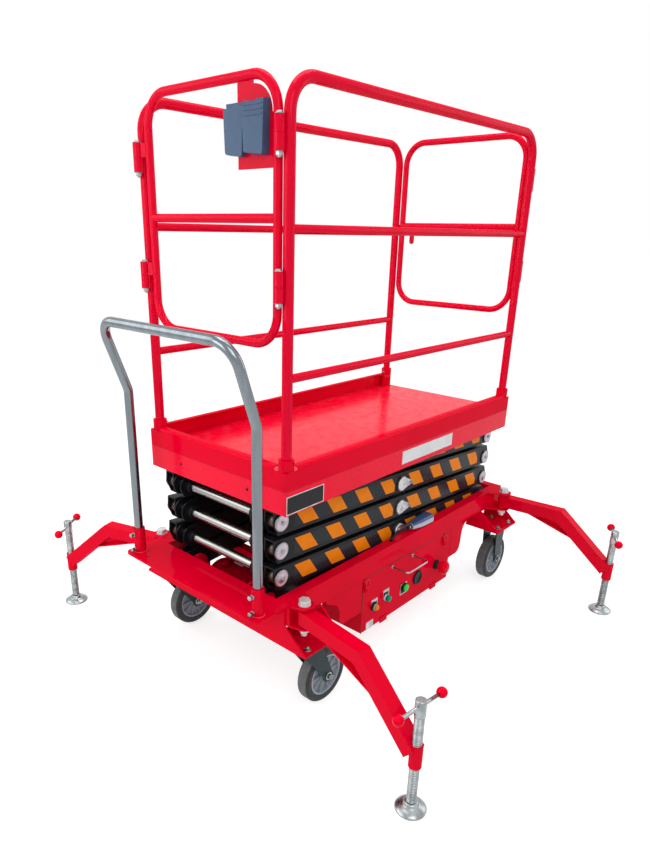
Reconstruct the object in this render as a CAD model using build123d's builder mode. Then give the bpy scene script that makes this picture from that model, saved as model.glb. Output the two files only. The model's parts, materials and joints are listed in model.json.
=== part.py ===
from build123d import *
import math
import os

# Mobile scissor lift with guard rails, four swing-out outriggers and a push handle.
# Millimetres. The frame stands on the ground under the middle of the plan: +X towards the
# gate, -X towards the push handle, -Y the control box's side, +Z up. The lift is folded.

os.makedirs("parts", exist_ok=True)

# ---------------------------------------------------------------- driving dimensions
# Stations along the lift
deck_x = 29.8  # middle of the deck and of the scissor
chassis_x = 68.3  # middle of the chassis

# Scissor stack
levels = 4
arm_length = 1357.0  # pivot to pivot
level_pitch = 100.0  # height of one folded level
base_pivot_z = 400.0
arm_depth = 84.0
arm_width = 45.0
arm_wall = 5.0
arm_side_gap = 9.0  # between an outer arm and the inner arm beside it
arm_face_y = 278.0  # outer face of the outer arms
outer_set = (-2.0, 11.0)  # outer tubes' axis above their pins: handle end, gate end
outer_end = [(-33, 42), (-33, 0), (-12, -42)]  # cut of an outer tube's open end
cheek_cut = 42.0  # inner tubes' top and bottom walls stop this short of the end pins
arm_collar = 24.0  # collars on the end pins, inside the inner arms
pin_r = 17.0
bush_r = 25.0
cap_r = 30.0
cap_t = 5.0
pin_fit = 0.1  # radial clearance of a pin in its bush
open_fit = 1.0  # radial clearance where the linkage's closed loops are opened
tie_r = 20.0  # black tube that ties a pair of inner arms
tie_u = arm_length - 265  # its place along the arms
top_end_r = 28.5  # end radius of the two arms that reach up under the deck
top_taper = 170.0  # length of their tapered ends
roller_r = 35.0
roller_w = 34.0
roller_gap = 0.3

# Chassis
chassis_length = 1495.0
beam_face_y = 330.0  # outer face of the side channels
beam_width = 40.0
flange_t = 6.0
web_t = 5.0
tail_t = 8.0
tail_half_width = 352.0
tail_corner_r = 25.0
plate_t = 6.0
bracket_length = 180.0
bracket_y = 427.0  # outer edge of a caster bracket
bracket_in_y = 262.0
bracket_z = 280.0  # top face of a caster bracket's floor

# Casters
wheel_r = 104.0
tyre_width = 50.0
hub_r = 76.0
hub_ribs = 10
hub_rib_y = 17.0  # how far the ribs reach either side of the wheel's middle
axle_r = 9.9
axle_fit = 0.1
caster_y = 360.0
swivel_x = -594.2
fixed_x = 734.8
caster_trail = 74.0
caster_plate_t = 5.0
fork_leg_t = 5.0
fork_gap = 4.0  # between a leg and the tyre

# Outriggers
pivot_in = 38.0  # from the channel's end to the handle end's pivots
pivot_in_far = 72.0
pivot_y = 381.0
pivot_bolt_r = 9.9
pivot_head_r = 19.5
ear_wall_y = 350.0  # outer edge of the wall between two ears
ear_r = 32.0
outrigger_tube = 50.0
outrigger_reach = 500.0
elbow_reach = 265.0
gusset_in = 125.0  # elbow gusset along the level part and along the sloping part
gusset_out = 95.0
gusset_t = 8.0
collar_z = 197.0
collar_h = 78.0
collar_r = 19.5
screw_r = 15.0
screw_top_z = 388.0
tbar_z = 366.0
tbar_length = 182.0
tbar_r = 6.0
ball_r = 16.5
pad_r = 47.0

# Deck
deck_length = 1440.0
deck_width = 678.0
deck_lug_t = 10.0
deck_lug_gap = 2.0
deck_lug_r = 30.0
skirt_z = 750.0
seam_z = 830.0  # toe boards lap over the deck down to here
floor_z = 838.0
floor_gap = 0.5  # between the raised floor and the toe boards
corner_z = 889.0  # top of the toe boards at the corners
rim_z = 901.0  # top of their folded edge
rim_bend = 10.0
rim_flange = 28.0
rim_notch = 54.0  # folded edge stops this short of the corners
sheet_t = 3.0
floor_t = 4.0

# Guard rails
post_in_x = 26.0  # post centre in from the deck's end
post_in_y = 24.0
post_r = 16.0
rail_r = 13.0
rail_bend = 90.0
top_rail_z = 1930.0
mid_rail_z = 1568.0
low_rail_z = 1166.0
socket_r = 24.0
socket_top_z = 925.0
socket_gap = 0.3
panel_tube_r = 12.7
panel_half_y = 285.5
panel_left_y = 268.0  # the end panel's upright on the +Y side stands further in
panel_out = 12.0  # panel's plane outside the posts
panel_top_z = 1935.0
panel_mid_z = 1594.0
panel_low_z = 1257.0
panel_bend = 90.0
knuckle_r = 14.0
knuckle_h = 41.0
knuckle_gap = 0.5
hinge_pin_r = 5.0
hinge_zs = {(-1, -1): (1420.0, 1793.0), (-1, 1): (1420.0, 1767.0), (1, -1): (1420.0, 1770.0)}

# Push handle
handle_gap = 96.0  # from the deck or the channels to the legs
handle_edge = 44.0  # end plate past the legs
handle_y = 315.0
handle_r = 16.0
handle_fit = 0.3
handle_bend_z = 1050.0
handle_top_z = 1290.0
handle_lean = 86.3
handle_bends = [60, 72, 72, 60]
handle_socket_r = 21.0
handle_socket_h = 95.0

# Control box on the -Y side
box_gap = 77.0  # from the lifting cylinder's foot
box_length = 630.0
box_z0 = 116.0
box_depth = 195.0
door_t = 3.0
door_gap = 5.0  # over the door
door_hinge_z = 110.0

# Charging lead
cord_r = 4.0
cord_y = -308.0
cord_hole_x = -59.2
cord_hole_r = 9.0

# Lifting cylinder, in the scissor's middle plane
ram_foot_u = 320.0  # foot eye ahead of the fixed pivots
ram_foot_drop = 57.0  # foot eye below them
ram_head_u = tie_u - 92  # head pin along the first inner arms
barrel_r = 38.0
gland_r = 44.0
rod_r = 22.0
eye_half_w = 22.0
ram_pin_r = 12.0
head_pin_r = 10.0
head_fit = 24.5  # clearance that lets the open head eye drift round its pin
head_eye_t = 8.0
ram_lug_t = 10.0
ram_lug_gap = 2.0

# ---------------------------------------------------------------- derived places
rest = math.asin(level_pitch / arm_length)
span = arm_length * math.cos(rest)
fixed_pivot_x = deck_x - span / 2
roller_x = deck_x + span / 2
inner_face_y = arm_face_y - arm_width - arm_side_gap  # outer face of the inner arms
inner_in_y = inner_face_y - arm_width
beam_in_y = beam_face_y - beam_width
beam_half_h = roller_r + roller_gap + flange_t
beam_z0 = base_pivot_z - beam_half_h
beam_z1 = base_pivot_z + beam_half_h
back_x = chassis_x - chassis_length / 2
front_x = chassis_x + chassis_length / 2
near_pivot_x = back_x + pivot_in
far_pivot_x = front_x - pivot_in_far
post_x = deck_length / 2 - post_in_x
post_y = deck_width / 2 - post_in_y
foot_x = fixed_pivot_x + ram_foot_u
foot_z = base_pivot_z - ram_foot_drop
handle_x = min(deck_x - deck_length / 2, back_x) - handle_gap
tail_x = handle_x - handle_edge
box_x0 = foot_x + box_gap
box_x1 = box_x0 + box_length
door_x = (box_x0 + box_x1) / 2
sleeve_z0 = beam_z0 + plate_t + roller_gap
sleeve_z1 = beam_z1 - plate_t - roller_gap
caster_top_z = bracket_z - plate_t

# Outriggers: name, side in x, side in y, pivot x, swing from square (deg), T-bar (deg)
outriggers = [
    ("near_left", -1, 1, near_pivot_x, 17.0, 37.0),
    ("near_right", -1, -1, near_pivot_x, 8.3, -7.0),
    ("far_left", 1, 1, far_pivot_x, 5.5, -28.0),
    ("far_right", 1, -1, far_pivot_x, 5.5, 28.0),
]

# Casters: name, x of the top plate, side in y, trail
casters = [
    ("near_left", swivel_x, 1, caster_trail),
    ("near_right", swivel_x, -1, caster_trail),
    ("far_left", fixed_x, 1, 0.0),
    ("far_right", fixed_x, -1, 0.0),
]


def side_plane(x, z, y, slope=0.0):
    """Upright plane seen from -Y: its x runs along +X tipped up by slope, its normal is -Y."""
    return Plane(origin=(x, y, z), x_dir=(math.cos(slope), 0, math.sin(slope)), z_dir=(0, -1, 0))


def end_plane(x):
    """Upright plane across the lift at x: its x runs along +Y and its normal is +X."""
    return Plane(origin=(x, 0, 0), x_dir=(0, 1, 0), z_dir=(1, 0, 0))


def finish(piece, name):
    """Label a finished piece and write it."""
    piece.label = name
    export_step(piece, f"parts/{name}.step")


def rod_y(x, z, r, y0, y1, mode=Mode.ADD):
    """Round bar along Y from y0 to y1, added to the part being built."""
    with BuildSketch(side_plane(x, z, y1)) as section:
        Circle(r)
    extrude(section.sketch, amount=y1 - y0, mode=mode)


def rod_z(x, y, r, z0, z1, mode=Mode.ADD):
    """Round bar along Z from z0 to z1, added to the part being built."""
    with BuildSketch(Plane.XY.offset(z0)) as section:
        with Locations((x, y)):
            Circle(r)
    extrude(section.sketch, amount=z1 - z0, mode=mode)


def block(x0, x1, y0, y1, z0, z1, mode=Mode.ADD):
    """Block between two corners, added to the part being built."""
    with BuildSketch(Plane.XY.offset(z0)) as section:
        with Locations(((x0 + x1) / 2, (y0 + y1) / 2)):
            Rectangle(x1 - x0, y1 - y0)
    extrude(section.sketch, amount=z1 - z0, mode=mode)


# ---------------------------------------------------------------- scissor stack
def scissor_arms(level, inner, ties):
    """A pair of arms of one level. Inner arms rise towards +X and outer arms fall.

    Inner arms end in pairs of rounded cheeks, outer arms in plain open tubes set a little
    askew to their pins. ties: places along the arm of cross tubes.
    """
    foot_z = base_pivot_z + (level - 1) * level_pitch
    slope = rest if inner else -rest
    start_z = foot_z if inner else foot_z + level_pitch
    face = inner_face_y if inner else arm_face_y
    collar = arm_collar if inner else 0.0
    tube_slope = slope
    tube_x = fixed_pivot_x
    tube_z = start_z
    # Radial clearance of the bores at the handle end, the middle and the gate end
    fits = [pin_fit, pin_fit, pin_fit]
    if inner and level % 2 == 0:
        fits[0] = open_fit
        fits[2] = open_fit if level < levels else pin_fit
    if not inner:
        tube_slope = slope + math.atan2(outer_set[1] - outer_set[0], arm_length)
        tube_x = fixed_pivot_x - outer_set[0] * math.sin(tube_slope)
        tube_z = start_z + outer_set[0] * math.cos(tube_slope)
    with BuildPart() as arms:
        for side in (-1, 1):
            y = face if side > 0 else arm_width - face
            with BuildSketch(side_plane(tube_x, tube_z, y, tube_slope)):
                if inner:
                    with Locations((arm_length / 2, 0)):
                        SlotCenterToCenter(arm_length, arm_depth)
                else:
                    with BuildLine():
                        gate_end = [(arm_length - u, -v) for u, v in outer_end]
                        Polyline(*outer_end, *gate_end, close=True)
                    make_face()
            extrude(amount=arm_width)
            if level == levels:
                # taper at the end that reaches up under the deck
                u_end = arm_length if inner else 0.0
                away = 1 if inner else -1
                with BuildSketch(side_plane(fixed_pivot_x, start_z, y, slope)):
                    with Locations((u_end, 0)):
                        Rectangle(2 * top_taper, arm_depth + 20)
                    with BuildLine():
                        Polyline(
                            (u_end - away * top_taper, arm_depth / 2),
                            (u_end - away * 8, top_end_r),
                            (u_end - away * 8, -top_end_r),
                            (u_end - away * top_taper, -arm_depth / 2),
                            close=True,
                        )
                    make_face(mode=Mode.SUBTRACT)
                    with Locations((u_end, 0)):
                        Circle(top_end_r, mode=Mode.SUBTRACT)
                    with Locations((u_end - away * 1.5 * top_taper, 0)):
                        Rectangle(top_taper, arm_depth + 22, mode=Mode.SUBTRACT)
                extrude(amount=arm_width, mode=Mode.SUBTRACT)
            # hollow, and open at the top and bottom round an inner arm's end pins
            with BuildSketch(side_plane(tube_x, tube_z, y - arm_wall, tube_slope)):
                with Locations((arm_length / 2, 0)):
                    Rectangle(arm_length + arm_depth + 1, arm_depth - 2 * arm_wall)
                if inner:
                    for u in (0.0, arm_length):
                        with Locations((u, 0)):
                            Rectangle(2 * cheek_cut, arm_depth + 2)
            extrude(amount=arm_width - 2 * arm_wall, mode=Mode.SUBTRACT)
            for u, fit in zip((0.0, arm_length / 2, arm_length), fits):
                at_end = inner and u != arm_length / 2
                top_y = y + collar if at_end and side < 0 else y
                length = arm_width + collar if at_end else arm_width
                if at_end:
                    # collar on the pin, inside the pair
                    y1 = inner_in_y if side > 0 else arm_collar - inner_in_y
                    with BuildSketch(side_plane(fixed_pivot_x, start_z, y1, slope)):
                        with Locations((u, 0)):
                            Circle(bush_r)
                    extrude(amount=arm_collar)
                else:
                    with BuildSketch(side_plane(fixed_pivot_x, start_z, y, slope)):
                        with Locations((u, 0)):
                            Circle(bush_r)
                    extrude(amount=arm_width)
                with BuildSketch(side_plane(fixed_pivot_x, start_z, top_y, slope)):
                    with Locations((u, 0)):
                        Circle(pin_r + fit)
                extrude(amount=length, mode=Mode.SUBTRACT)
        for u in ties:
            tie_y = face - arm_width + arm_wall
            with BuildSketch(side_plane(fixed_pivot_x, start_z, tie_y, slope)):
                with Locations((u, 0)):
                    Circle(tie_r)
            extrude(amount=2 * tie_y)
        if inner and level == 1:
            # lugs and pin for the head of the lifting cylinder
            lug_in = eye_half_w + ram_lug_gap
            for side in (-1, 1):
                y0, y1 = sorted((side * lug_in, side * (lug_in + ram_lug_t)))
                with BuildSketch(side_plane(fixed_pivot_x, start_z, y1, slope)):
                    with BuildLine():
                        Polyline((ram_head_u, 22), (tie_u, 28), (tie_u, -28), (ram_head_u, -22), close=True)
                    make_face()
                    with Locations((ram_head_u, 0)):
                        Circle(22)
                    with Locations((tie_u, 0)):
                        Circle(28)
                extrude(amount=ram_lug_t)
            with BuildSketch(side_plane(fixed_pivot_x, start_z, lug_in + ram_lug_t + 5, slope)):
                with Locations((ram_head_u, 0)):
                    Circle(head_pin_r)
            extrude(amount=2 * (lug_in + ram_lug_t + 5))
    return arms.part


def scissor_pins(level):
    """Silver pins carried by the outer arms: a full-width tube at each end, stubs at the middle."""
    foot_z = base_pivot_z + (level - 1) * level_pitch
    mid_z = foot_z + level_pitch / 2
    end_y = arm_face_y + cap_t
    top_y = end_y if level < levels else arm_face_y + deck_lug_gap + deck_lug_t + 4
    with BuildPart() as pins:
        # upper pin at the handle end
        rod_y(fixed_pivot_x, foot_z + level_pitch, pin_r, -top_y, top_y)
        # lower pin at the gate end
        rod_y(roller_x, foot_z, pin_r, -end_y, end_y)
        ends = [(fixed_pivot_x, foot_z + level_pitch), (deck_x, mid_z)]
        if level > 1:
            ends.append((roller_x, foot_z))
        for side in (-1, 1):
            y_in = inner_in_y - cap_t
            rod_y(deck_x, mid_z, pin_r, *sorted((side * y_in, side * end_y)))
            rod_y(deck_x, mid_z, cap_r - 6, *sorted((side * y_in, side * (inner_in_y - 0.5))))
            if level < levels:
                for x, z in ends:
                    rod_y(x, z, cap_r, *sorted((side * arm_face_y, side * end_y)))
            else:
                for x, z in ends[1:]:
                    rod_y(x, z, cap_r, *sorted((side * arm_face_y, side * end_y)))
            if level == 1:
                # roller in the side channel
                y0 = beam_face_y - web_t - roller_gap - roller_w
                rod_y(roller_x, foot_z, pin_r, *sorted((side * arm_face_y, side * y0)))
                rod_y(roller_x, foot_z, roller_r, *sorted((side * y0, side * (y0 + roller_w))))
    return pins.part


for level in range(1, levels + 1):
    inner_arms = scissor_arms(level, True, [tie_u])
    finish(inner_arms, f"inner_arms_{level}")
    outer_arms = scissor_arms(level, False, [])
    finish(outer_arms, f"outer_arms_{level}")
    cross_pins = scissor_pins(level)
    finish(cross_pins, f"cross_pins_{level}")

# Base pivots of the first inner arms: a lug, a stub pin and its nut on each side
lug_y = inner_in_y - arm_collar - 5
lug_t = 10.0
lug_r = 36.0
with BuildPart() as base_pivots:
    for side in (-1, 1):
        y0, y1 = sorted((side * (lug_y - lug_t), side * lug_y))
        with BuildSketch(side_plane(0, 0, y1)):
            with BuildLine():
                Polyline(
                    (back_x, beam_z0 - 40),
                    (back_x, base_pivot_z),
                    (fixed_pivot_x, base_pivot_z + lug_r),
                    (fixed_pivot_x + lug_r, base_pivot_z),
                    (fixed_pivot_x + lug_r, beam_z0 - 40),
                    close=True,
                )
            make_face()
            with Locations((fixed_pivot_x, base_pivot_z)):
                Circle(lug_r)
            with Locations((back_x - 50, base_pivot_z)):
                Rectangle(100, 4 * lug_r, mode=Mode.SUBTRACT)
        extrude(amount=y1 - y0)
        y0, y1 = sorted((side * (lug_y - lug_t - 10), side * (lug_y - lug_t)))
        with BuildSketch(side_plane(fixed_pivot_x, base_pivot_z, y1)):
            RegularPolygon(15, 6)
        extrude(amount=y1 - y0)
        rod_y(fixed_pivot_x, base_pivot_z, pin_r,
              *sorted((side * (lug_y - lug_t), side * (inner_face_y + cap_t))))
        rod_y(fixed_pivot_x, base_pivot_z, pin_r + 6,
              *sorted((side * (inner_face_y + 0.5), side * (inner_face_y + cap_t))))
finish(base_pivots.part, "base_pivots")

# ---------------------------------------------------------------- chassis
ear_reach = pivot_y - beam_face_y + 20
ears = [
    (near_pivot_x, [(-pivot_in, 0), (59, 0), (24, ear_reach), (-24, ear_reach), (-pivot_in, 30)]),
    (far_pivot_x, [(-59, 0), (59, 0), (24, ear_reach), (-24, ear_reach)]),
]


def side_frame(side):
    """Side channel open inwards, with its outrigger ears and its caster brackets."""
    with BuildPart() as frame:
        with BuildSketch(end_plane(back_x)):
            y0, y1 = sorted((side * beam_in_y, side * beam_face_y))
            with Locations(((y0 + y1) / 2, base_pivot_z)):
                Rectangle(beam_width, 2 * beam_half_h)
            with Locations(((y0 + y1) / 2 - side * web_t, base_pivot_z)):
                Rectangle(beam_width, 2 * (beam_half_h - flange_t), mode=Mode.SUBTRACT)
        extrude(amount=chassis_length)
        for px, ear in ears:
            # wall between the ears, on the handle's side of the pivot
            block(px - pivot_in, px - pivot_in + plate_t, *sorted((side * beam_face_y, side * ear_wall_y)),
                  beam_z0, beam_z1)
            for z in (beam_z0, beam_z1 - plate_t):
                with BuildSketch(Plane.XY.offset(z)):
                    with BuildLine():
                        Polyline(*[(px + u, side * (beam_face_y + v)) for u, v in ear], close=True)
                    make_face()
                    with Locations((px, side * pivot_y)):
                        Circle(ear_r)
                extrude(amount=plate_t)
                rod_z(px, side * pivot_y, pivot_bolt_r, z, z + plate_t, mode=Mode.SUBTRACT)
        for x0 in (back_x, front_x - bracket_length):
            profile = [
                (bracket_in_y, caster_top_z),
                (bracket_y, caster_top_z),
                (bracket_y, bracket_z),
                (beam_face_y + 4, beam_z0),
                (beam_in_y, beam_z0),
                (beam_in_y, beam_z0 - 12),
                (bracket_in_y, beam_z0 - 12),
            ]
            ends = (x0, x0 + bracket_length - plate_t) if x0 > chassis_x else (x0 + bracket_length - plate_t,)
            for gx in ends:
                with BuildSketch(end_plane(gx)):
                    with BuildLine():
                        Polyline(*[(side * y, z) for y, z in profile], close=True)
                    make_face()
                extrude(amount=plate_t)
            block(x0, x0 + bracket_length, *sorted((side * bracket_in_y, side * bracket_y)),
                  caster_top_z, bracket_z)
        if side < 0:
            # hole where the charging lead comes out
            rod_z(cord_hole_x, cord_y, cord_hole_r, beam_z1 - flange_t, beam_z1, mode=Mode.SUBTRACT)
    return frame.part


finish(side_frame(1), "side_frame_left")
finish(side_frame(-1), "side_frame_right")

# End plate at the handle with its two round sockets
with BuildPart() as tail_plate:
    block(tail_x, back_x, -tail_half_width, tail_half_width, beam_z1 - tail_t, beam_z1)
    fillet(tail_plate.edges().filter_by(Axis.Z).group_by(Axis.X)[0], tail_corner_r)
    for side in (-1, 1):
        rod_z(handle_x, side * handle_y, handle_socket_r, beam_z1, beam_z1 + handle_socket_h)
        rod_z(handle_x, side * handle_y, handle_r + handle_fit, beam_z1, beam_z1 + handle_socket_h,
              mode=Mode.SUBTRACT)
finish(tail_plate.part, "tail_plate")

# Cross beams that tie the side frames
with BuildPart() as cross_beams:
    # handle end: an upright plate under the end plate
    with BuildSketch(end_plane(back_x - plate_t)):
        with BuildLine():
            Polyline(
                (-bracket_y, caster_top_z), (bracket_y, caster_top_z), (bracket_y, bracket_z),
                (beam_face_y + 4, beam_z0), (beam_face_y, beam_z1 - tail_t),
                (-beam_face_y, beam_z1 - tail_t), (-beam_face_y - 4, beam_z0), (-bracket_y, bracket_z),
                close=True,
            )
        make_face()
    extrude(amount=plate_t)
    # cut back round the ends of the first inner arms
    for side in (-1, 1):
        y0, y1 = sorted((side * (inner_in_y - 6), side * (inner_face_y + 6)))
        block(back_x - plate_t, back_x, y0, y1, base_pivot_z - 34, beam_z1, mode=Mode.SUBTRACT)
    # gate end: a flat tube between the channels
    block(front_x - 42, front_x, -beam_in_y, beam_in_y, beam_z0, beam_z1)
    # foot of the lifting cylinder
    block(foot_x - 75, foot_x - 35, -320, beam_face_y, beam_z0 - 40, beam_z0)
    for side in (-1, 1):
        lug_in = eye_half_w + ram_lug_gap
        y0, y1 = sorted((side * lug_in, side * (lug_in + ram_lug_t)))
        with BuildSketch(side_plane(foot_x, foot_z, y1)):
            with Locations((-19, 0)):
                Rectangle(38, 44)
            Circle(22)
        extrude(amount=y1 - y0)
    rod_y(foot_x, foot_z, ram_pin_r, -(eye_half_w + 17), eye_half_w + 17)
finish(cross_beams.part, "cross_beams")

# Side skirts either side of the control box, with wavy outer ends
wave_left = [(-220, beam_z0), (-190, 326), (-157, 309), (-136, 275), (-131, 230), (-113, 213)]
wave_right = [(164, beam_z0), (100, 296), (97, 261), (88, 229), (60, 213)]
with BuildPart() as side_skirts:
    for edge_x, wave, inset in ((box_x0, wave_left, -3), (box_x1, wave_right, 3)):
        outline = [(edge_x + u, z) for u, z in wave]
        with BuildSketch(side_plane(0, 0, -beam_face_y + 5 + sheet_t)):
            with BuildLine():
                Spline(*outline)
                Polyline(outline[-1], (edge_x + inset, 213), (edge_x + inset, beam_z0), outline[0])
            make_face()
        extrude(amount=sheet_t)
finish(side_skirts.part, "side_skirts")

# Control box: a sheet case open at the front
box_y1 = -beam_face_y + 8
box_z1 = beam_z0 - 5
with BuildPart() as control_box:
    block(box_x0, box_x1, box_y1, box_y1 + box_depth, box_z0, box_z1)
    block(box_x0 + sheet_t, box_x1 - sheet_t, box_y1, box_y1 + box_depth - sheet_t,
          box_z0 + sheet_t, box_z1 - sheet_t, mode=Mode.SUBTRACT)
    # flange under the side channel
    block(box_x0, box_x1, box_y1 + 2, box_y1 + 22, box_z1, beam_z0)
finish(control_box.part, "control_box")

# Control door, hinged along its bottom
door_y1 = box_y1 - 0.5
with BuildPart() as control_door:
    block(box_x0, box_x1, door_y1 - door_t, door_y1, box_z0, beam_z0 - door_gap)
    for x in (door_x - 168, door_x + 200):
        block(x - 22, x + 22, door_y1 - door_t - 3, door_y1, door_hinge_z - 4, box_z0 + 14)
finish(control_door.part, "control_door")

# Controls on the door: place from its middle, z, radius, reach
controls = [
    (-240, 206, 11, 22),
    (-162, 214, 11, 24),
    (-31, 206, 15.5, 16),
    (65, 213, 31, 6),
]
stop_u, stop_z, stop_r, stop_reach = 209, 219, 29.5, 60.0
front_y = door_y1 - door_t
with BuildPart() as door_controls:
    for u, z, r, reach in controls:
        rod_y(door_x + u, z, r, front_y - reach, front_y)
    # emergency stop: bezel, neck and domed mushroom head
    stop_at = (door_x + stop_u, front_y, stop_z)
    with BuildSketch(Plane(origin=stop_at, x_dir=(1, 0, 0), z_dir=(0, 0, 1))):
        with BuildLine():
            Polyline((0, -stop_reach), (0, 0), (19, 0), (19, -20), (14, -20), (14, -38), (stop_r, -40),
                     (stop_r, -50))
            ThreePointArc((stop_r, -50), (stop_r - 8, -57), (8, -stop_reach))
            Line((8, -stop_reach), (0, -stop_reach))
        make_face()
    revolve(axis=Axis(stop_at, (0, 1, 0)))
finish(door_controls.part, "door_controls")

# Wire pull on the door
pull_r = 3.5
pull_z = 335.0
pull_reach = 75.0
pull_path = [
    (door_x - 128, front_y, pull_z),
    (door_x - 128, front_y - pull_reach, pull_z),
    (door_x + 14, front_y - pull_reach, pull_z),
    (door_x + 14, front_y, pull_z),
]
with BuildPart() as door_pull:
    with BuildLine() as pull_line:
        FilletPolyline(*pull_path, radius=14)
    with BuildSketch(Plane(origin=pull_path[0], z_dir=(0, -1, 0))):
        Circle(pull_r)
    sweep(path=pull_line.line)
finish(door_pull.part, "door_pull")

# Hydraulic power unit behind the end plate: tank, motor under it, and their saddle
tank_x = back_x + 112
tank_z = 320.0
tank_r = 80.0
tank_half = 130.0
motor_z = 194.0
motor_r = 42.0
with BuildPart() as power_unit:
    # tray: foot plate and back plate against the upright plate
    block(back_x, back_x + 200, -120, 120, 140, 146)
    block(back_x, back_x + plate_t, -120, 120, 140, bracket_z + 60)
    for y in (-78, 72):
        block(back_x, back_x + 200, y, y + plate_t, 140, tank_z - 20)
    rod_y(tank_x, motor_z, motor_r, -125, 95)
    rod_y(tank_x, motor_z, motor_r - 6, -138, -125)
    rod_y(tank_x, tank_z, tank_r, -tank_half, tank_half)
    fillet(power_unit.edges().filter_by(GeomType.CIRCLE).filter_by(
        lambda e: abs(e.radius - tank_r) < 0.1 and abs(abs(e.center().Y) - tank_half) < 0.1), 16)
    # pump block and filler neck
    block(tank_x + 30, tank_x + 84, -60, 10, 215, 262)
    rod_z(tank_x - 20, 60, 14, tank_z + 60, tank_z + tank_r + 14)
finish(power_unit.part, "power_unit")

# Bolts of the outrigger pivots: head on top, washer, nut and thread end below
with BuildPart() as pivot_bolts:
    for name, sx, sy, px, swing, tbar in outriggers:
        y = sy * pivot_y
        rod_z(px, y, pivot_bolt_r, beam_z0 - 32, beam_z1)
        rod_z(px, y, pivot_head_r + 1, beam_z1, beam_z1 + 3)
        for z0, z1 in ((beam_z1 + 3, beam_z1 + 19), (beam_z0 - 20, beam_z0)):
            with BuildSketch(Plane.XY.offset(z0)):
                with Locations((px, y)):
                    RegularPolygon(pivot_head_r if z0 > beam_z0 else 16, 6)
            extrude(amount=z1 - z0)
finish(pivot_bolts.part, "pivot_bolts")


# ---------------------------------------------------------------- outriggers
def outrigger_direction(sx, sy, swing):
    """Unit vector from a pivot to its jack, in plan."""
    a = math.radians(swing)
    return sx * math.sin(a), sy * math.cos(a)


def outrigger_arm(sx, sy, px, swing):
    """Square tube from the pivot's sleeve over the elbow down to the jack's collar."""
    dx, dy = outrigger_direction(sx, sy, swing)
    half = outrigger_tube / 2
    drop = math.atan2(base_pivot_z - collar_z, outrigger_reach - elbow_reach)
    k = half * math.tan(drop / 2)
    end_r = outrigger_reach - 8
    z_end = base_pivot_z - (end_r - elbow_reach) * math.tan(drop)
    s, c = math.sin(drop), math.cos(drop)
    outline = [
        (0, base_pivot_z + half),
        (elbow_reach + k, base_pivot_z + half),
        (end_r + half * s, z_end + half * c),
        (end_r - half * s, z_end - half * c),
        (elbow_reach - k, base_pivot_z - half),
        (0, base_pivot_z - half),
    ]
    arm_plane = Plane(origin=(px, sy * pivot_y, 0), x_dir=(dx, dy, 0), z_dir=(dy, -dx, 0))
    jx, jy = px + dx * outrigger_reach, sy * pivot_y + dy * outrigger_reach
    with BuildPart() as arm:
        with BuildSketch(arm_plane):
            with BuildLine():
                Polyline(*outline, close=True)
            make_face()
        extrude(amount=half, both=True)
        # gusset under the elbow: a web and the strip along its lower edge
        web_a = (elbow_reach - k - gusset_in, base_pivot_z - half)
        web_b = (elbow_reach - k + gusset_out * c, base_pivot_z - half - gusset_out * s)
        elbow = (elbow_reach - k, base_pivot_z - half)
        with BuildSketch(arm_plane):
            with BuildLine():
                Polyline(web_a, elbow, web_b, close=True)
            make_face()
        extrude(amount=gusset_t / 2, both=True)
        lip = math.atan2(web_a[1] - web_b[1], web_b[0] - web_a[0])
        up_x, up_z = 5 * math.sin(lip), 5 * math.cos(lip)
        with BuildSketch(arm_plane):
            with BuildLine():
                Polyline(web_a, web_b, (web_b[0] + 2 * up_x, web_b[1] + up_z), (web_a[0] + 8, web_a[1] + 3),
                         close=True)
            make_face()
        extrude(amount=half, both=True)
        rod_z(px, sy * pivot_y, 22, sleeve_z0, sleeve_z1)
        rod_z(px, sy * pivot_y, pivot_bolt_r + pin_fit, sleeve_z0, sleeve_z1, mode=Mode.SUBTRACT)
        rod_z(jx, jy, collar_r, collar_z - collar_h / 2, collar_z + collar_h / 2)
        rod_z(jx, jy, screw_r + pin_fit, collar_z - collar_h, collar_z + collar_h, mode=Mode.SUBTRACT)
    return arm.part


def outrigger_jack(sx, sy, px, swing, tbar):
    """Screw with its domed foot pad and its T-bar with ball ends."""
    dx, dy = outrigger_direction(sx, sy, swing)
    jx, jy = px + dx * outrigger_reach, sy * pivot_y + dy * outrigger_reach
    a = math.radians(tbar)
    bar_dir = Vector(math.cos(a), math.sin(a), 0)
    centre = Vector(jx, jy, tbar_z)
    with BuildPart() as jack:
        with BuildSketch(Plane(origin=(jx, jy, 0), x_dir=(1, 0, 0), z_dir=(0, -1, 0))):
            with BuildLine():
                Polyline((0, 22), (0, 0), (pad_r, 0), (pad_r, 5))
                ThreePointArc((pad_r, 5), (34, 16), (screw_r, 22))
                Line((screw_r, 22), (0, 22))
            make_face()
        revolve(axis=Axis((jx, jy, 0), (0, 0, 1)))
        rod_z(jx, jy, screw_r, 20, screw_top_z)
        with BuildSketch(Plane(origin=centre - bar_dir * tbar_length / 2, z_dir=bar_dir)):
            Circle(tbar_r)
        extrude(amount=tbar_length)
        for end in (-1, 1):
            with Locations(Plane(origin=centre + bar_dir * end * tbar_length / 2, z_dir=bar_dir)):
                Sphere(ball_r)
    return jack.part


for name, sx, sy, px, swing, tbar in outriggers:
    finish(outrigger_arm(sx, sy, px, swing), f"outrigger_{name}")
    finish(outrigger_jack(sx, sy, px, swing, tbar), f"jack_{name}")

# ---------------------------------------------------------------- casters
race_z = 255.0
crown_z = 247.0
crown_t = 6.0
kingpin_r = 10.0

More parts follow.
